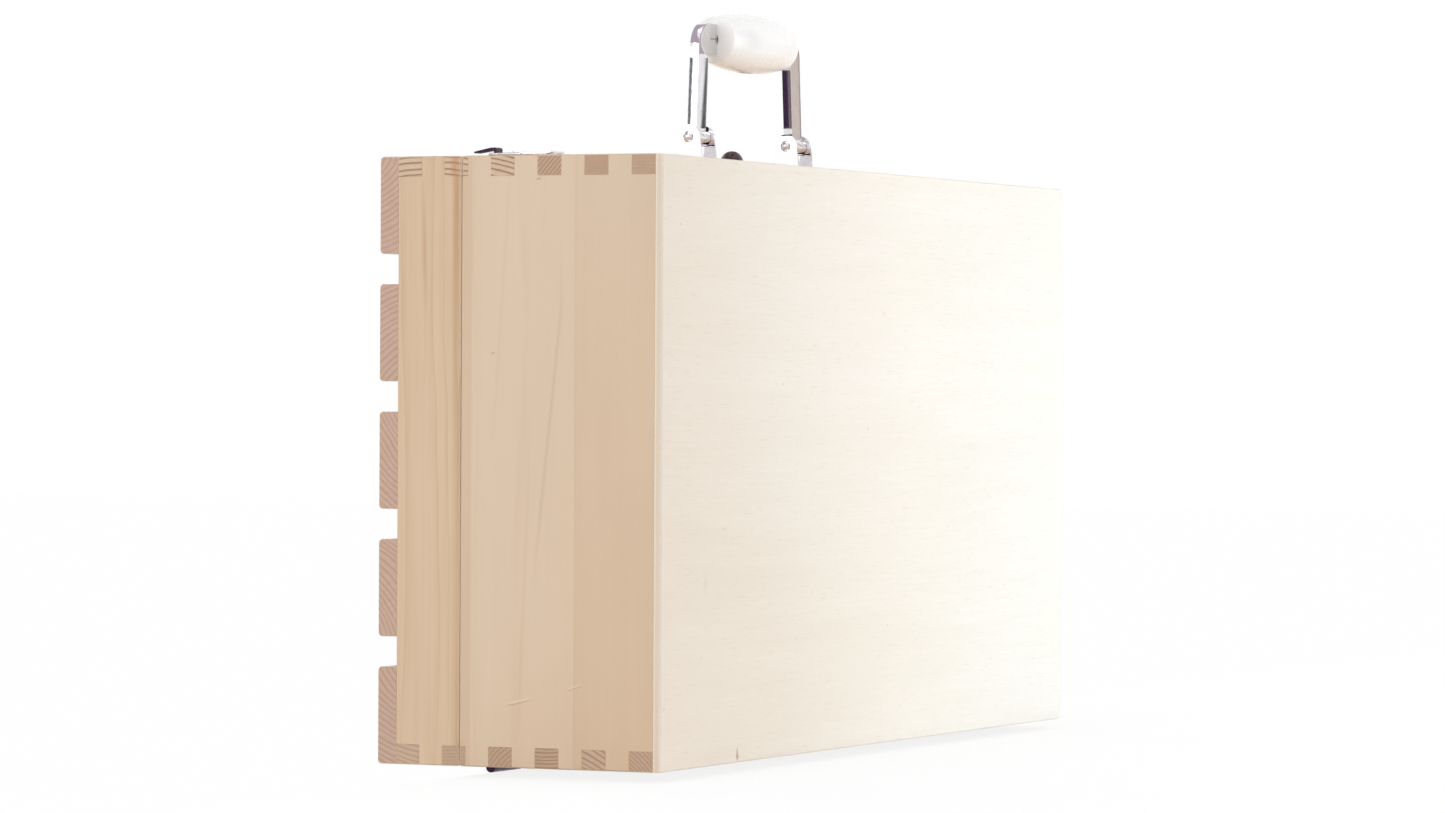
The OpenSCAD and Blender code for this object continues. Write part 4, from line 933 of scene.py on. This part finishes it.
floor_mat = floor_material()
TABLE_EDGE = -0.0338  # just in front of the parting line
for name, y0, z0, z1 in (("stage_table", TABLE_EDGE, -0.06, 0.0), ("stage_floor", -25.0, -0.42, -0.40)):
    corners = [(x, y, z) for x in (-25.0, 9.0) for y in (y0, 25.0) for z in (z0, z1)]
    sides = [(0, 1, 3, 2), (4, 6, 7, 5), (0, 4, 5, 1), (2, 3, 7, 6), (0, 2, 6, 4), (1, 5, 7, 3)]
    o = mesh_obj(name, corners, sides, floor_mat)
    edge = o.modifiers.new("edge", "BEVEL")
    edge.width = 0.002
    edge.segments = 2


def card(name, corners, tint, fade=0.0):
    """A glowing card that only polished surfaces see, a painted reflection that lights nothing. It turns from
    white to its tint over the share fade of its size, in from its edges."""
    m = Mat(name, "ShaderNodeEmission")
    m.set(Color=tint)
    if fade:
        u, _, w = m.split(m.coord["Generated"])
        across, along = (m.span(q, 0.0, fade) * m.span(q, 1.0, 1.0 - fade) for q in (u, w))
        m.set(Color=m.mix(across * along, (1, 1, 1), tint))
    o = mesh_obj(name, corners, [(0, 1, 2, 3)], m.m)
    for ray in ("camera", "diffuse", "transmission", "volume_scatter", "shadow"):
        setattr(o, "visible_" + ray, False)


def mirror_card(name, normal, low, high, distance, low_width, high_width, tint):
    """A card placed where a flat face, from the point low to the point high, mirrors it to the camera as a
    painted reflection.
    """
    n, rows = Vector(normal).normalized(), []
    for p, w in ((Vector(low), low_width), (Vector(high), high_width)):
        ray = (p - EYE).normalized()
        ray -= 2 * ray.dot(n) * n
        side = Vector((0, 0, 1)).cross(ray).normalized() * w / 2
        rows.append((p + ray * distance - side, p + ray * distance + side))
    card(name, [rows[0][0], rows[0][1], rows[1][1], rows[1][0]], tint)


# the handle's posts lean, so the narrow faces of the near and the far one look a little up and down
NEAR_EDGE, FAR_EDGE, BROAD = (0.9972, 0, 0.0743), (0.9972, 0, -0.0743), (0, 1, 0)
REFLECTED_MAUVE = (0.50, 0.43, 0.50)
# painted reflections: dark, mauve and beige cards that the posts' faces and the near elbow mirror
for name, normal, low, high, distance, low_width, high_width, tint in (
        ("near_left", NEAR_EDGE, (0.0689, -0.0016, 0.3270), (0.0663, -0.0016, 0.3640), 0.05, 0.0022, 0.0024,
         (0.13, 0.14, 0.14)),
        ("near_right", BROAD, (0.0595, 0.0025, 0.3270), (0.0554, 0.0025, 0.3640), 0.05, 0.0026, 0.0012,
         (0.09, 0.10, 0.09)),
        ("near_elbow", BROAD, (0.0560, 0.0025, 0.3660), (0.0560, 0.0025, 0.3840), 0.05, 0.0090, 0.0090,
         REFLECTED_MAUVE),
        ("far_edge", FAR_EDGE, (-0.0560, -0.0016, 0.3315), (-0.0538, -0.0016, 0.3630), 0.03, 0.0048, 0.0048,
         (0.05, 0.028, 0.062)),
        ("far_edge_rear", FAR_EDGE, (-0.0560, 0.0026, 0.3315), (-0.0538, 0.0026, 0.3630), 0.03, 0.0034,
         0.0034, (0.22, 0.165, 0.20)),
        ("far_face", BROAD, (-0.0630, 0.0025, 0.3240), (-0.0590, 0.0025, 0.3740), 0.11, 0.0160, 0.0160,
         (0.70, 0.61, 0.56)),
        ("far_line", BROAD, (-0.0684, 0.0025, 0.3240), (-0.0652, 0.0025, 0.3740), 0.05, 0.0006, 0.0006,
         (0.20, 0.17, 0.17))):
    mirror_card("stage_card_" + name, normal, low, high, distance, low_width, high_width, tint)
# painted reflections: a mauve card over the case and grey ones behind and in front, seen only in polish
over = (-0.30, -0.45), (0.70, -0.45), (0.70, -0.10), (-0.30, -0.10)
card("stage_card_over", [(x, y, 0.62) for x, y in over], REFLECTED_MAUVE)
for name, y, x in (("rear", 0.95, 0.06), ("front", -0.95, 0.0)):
    corners = [(x - 0.5, y, 0.10), (x + 0.5, y, 0.10), (x + 0.5, y, 0.90), (x - 0.5, y, 0.90)]
    card("stage_card_" + name, corners, (0.22, 0.215, 0.225), 0.35)

# ---------- light ----------
scene.world = bpy.data.worlds.new("world")
w = Tree(scene.world)
soft_light = w.node("ShaderNodeBackground", ((0.98, 0.985, 0.99), 0.60))
white = w.node("ShaderNodeBackground", ((1, 1, 1), 1.0))
w.node("ShaderNodeOutputWorld", (w.node("ShaderNodeMixShader", (w.seen(), soft_light, white)),), None)

for name, place, aim, size, watts, colour in (
        ("back_key", (-0.45, 0.85, 0.27), (-0.15, 0.0, 0.155), (0.7, 0.7), 4.36, (0.975, 0.985, 1.0)),
        ("top_soft", (0.1, 0.1, 1.7), (0, 0, 0.3), (1.2, 1.2), 4.6, (1, 1, 1)),
        ("front_fill", (-0.6, -2.4, 1.5), (0, 0, 0.15), (1.8, 1.4), 25.0, (1, 1, 1)),
        ("end_fill", (2.6, -0.5, 1.1), (0.2, 0, 0.15), (1.4, 1.4), 19.0, (0.93, 0.96, 1.0))):
    lamp = bpy.data.lights.new(name, "AREA")
    lamp.shape = "RECTANGLE"
    lamp.size, lamp.size_y = size
    lamp.energy = watts
    lamp.color = colour
    o = link(name, lamp)
    o.location = place
    o.rotation_euler = (Vector(aim) - Vector(place)).to_track_quat("-Z", "Y").to_euler()

scene.view_settings.view_transform = "Standard"
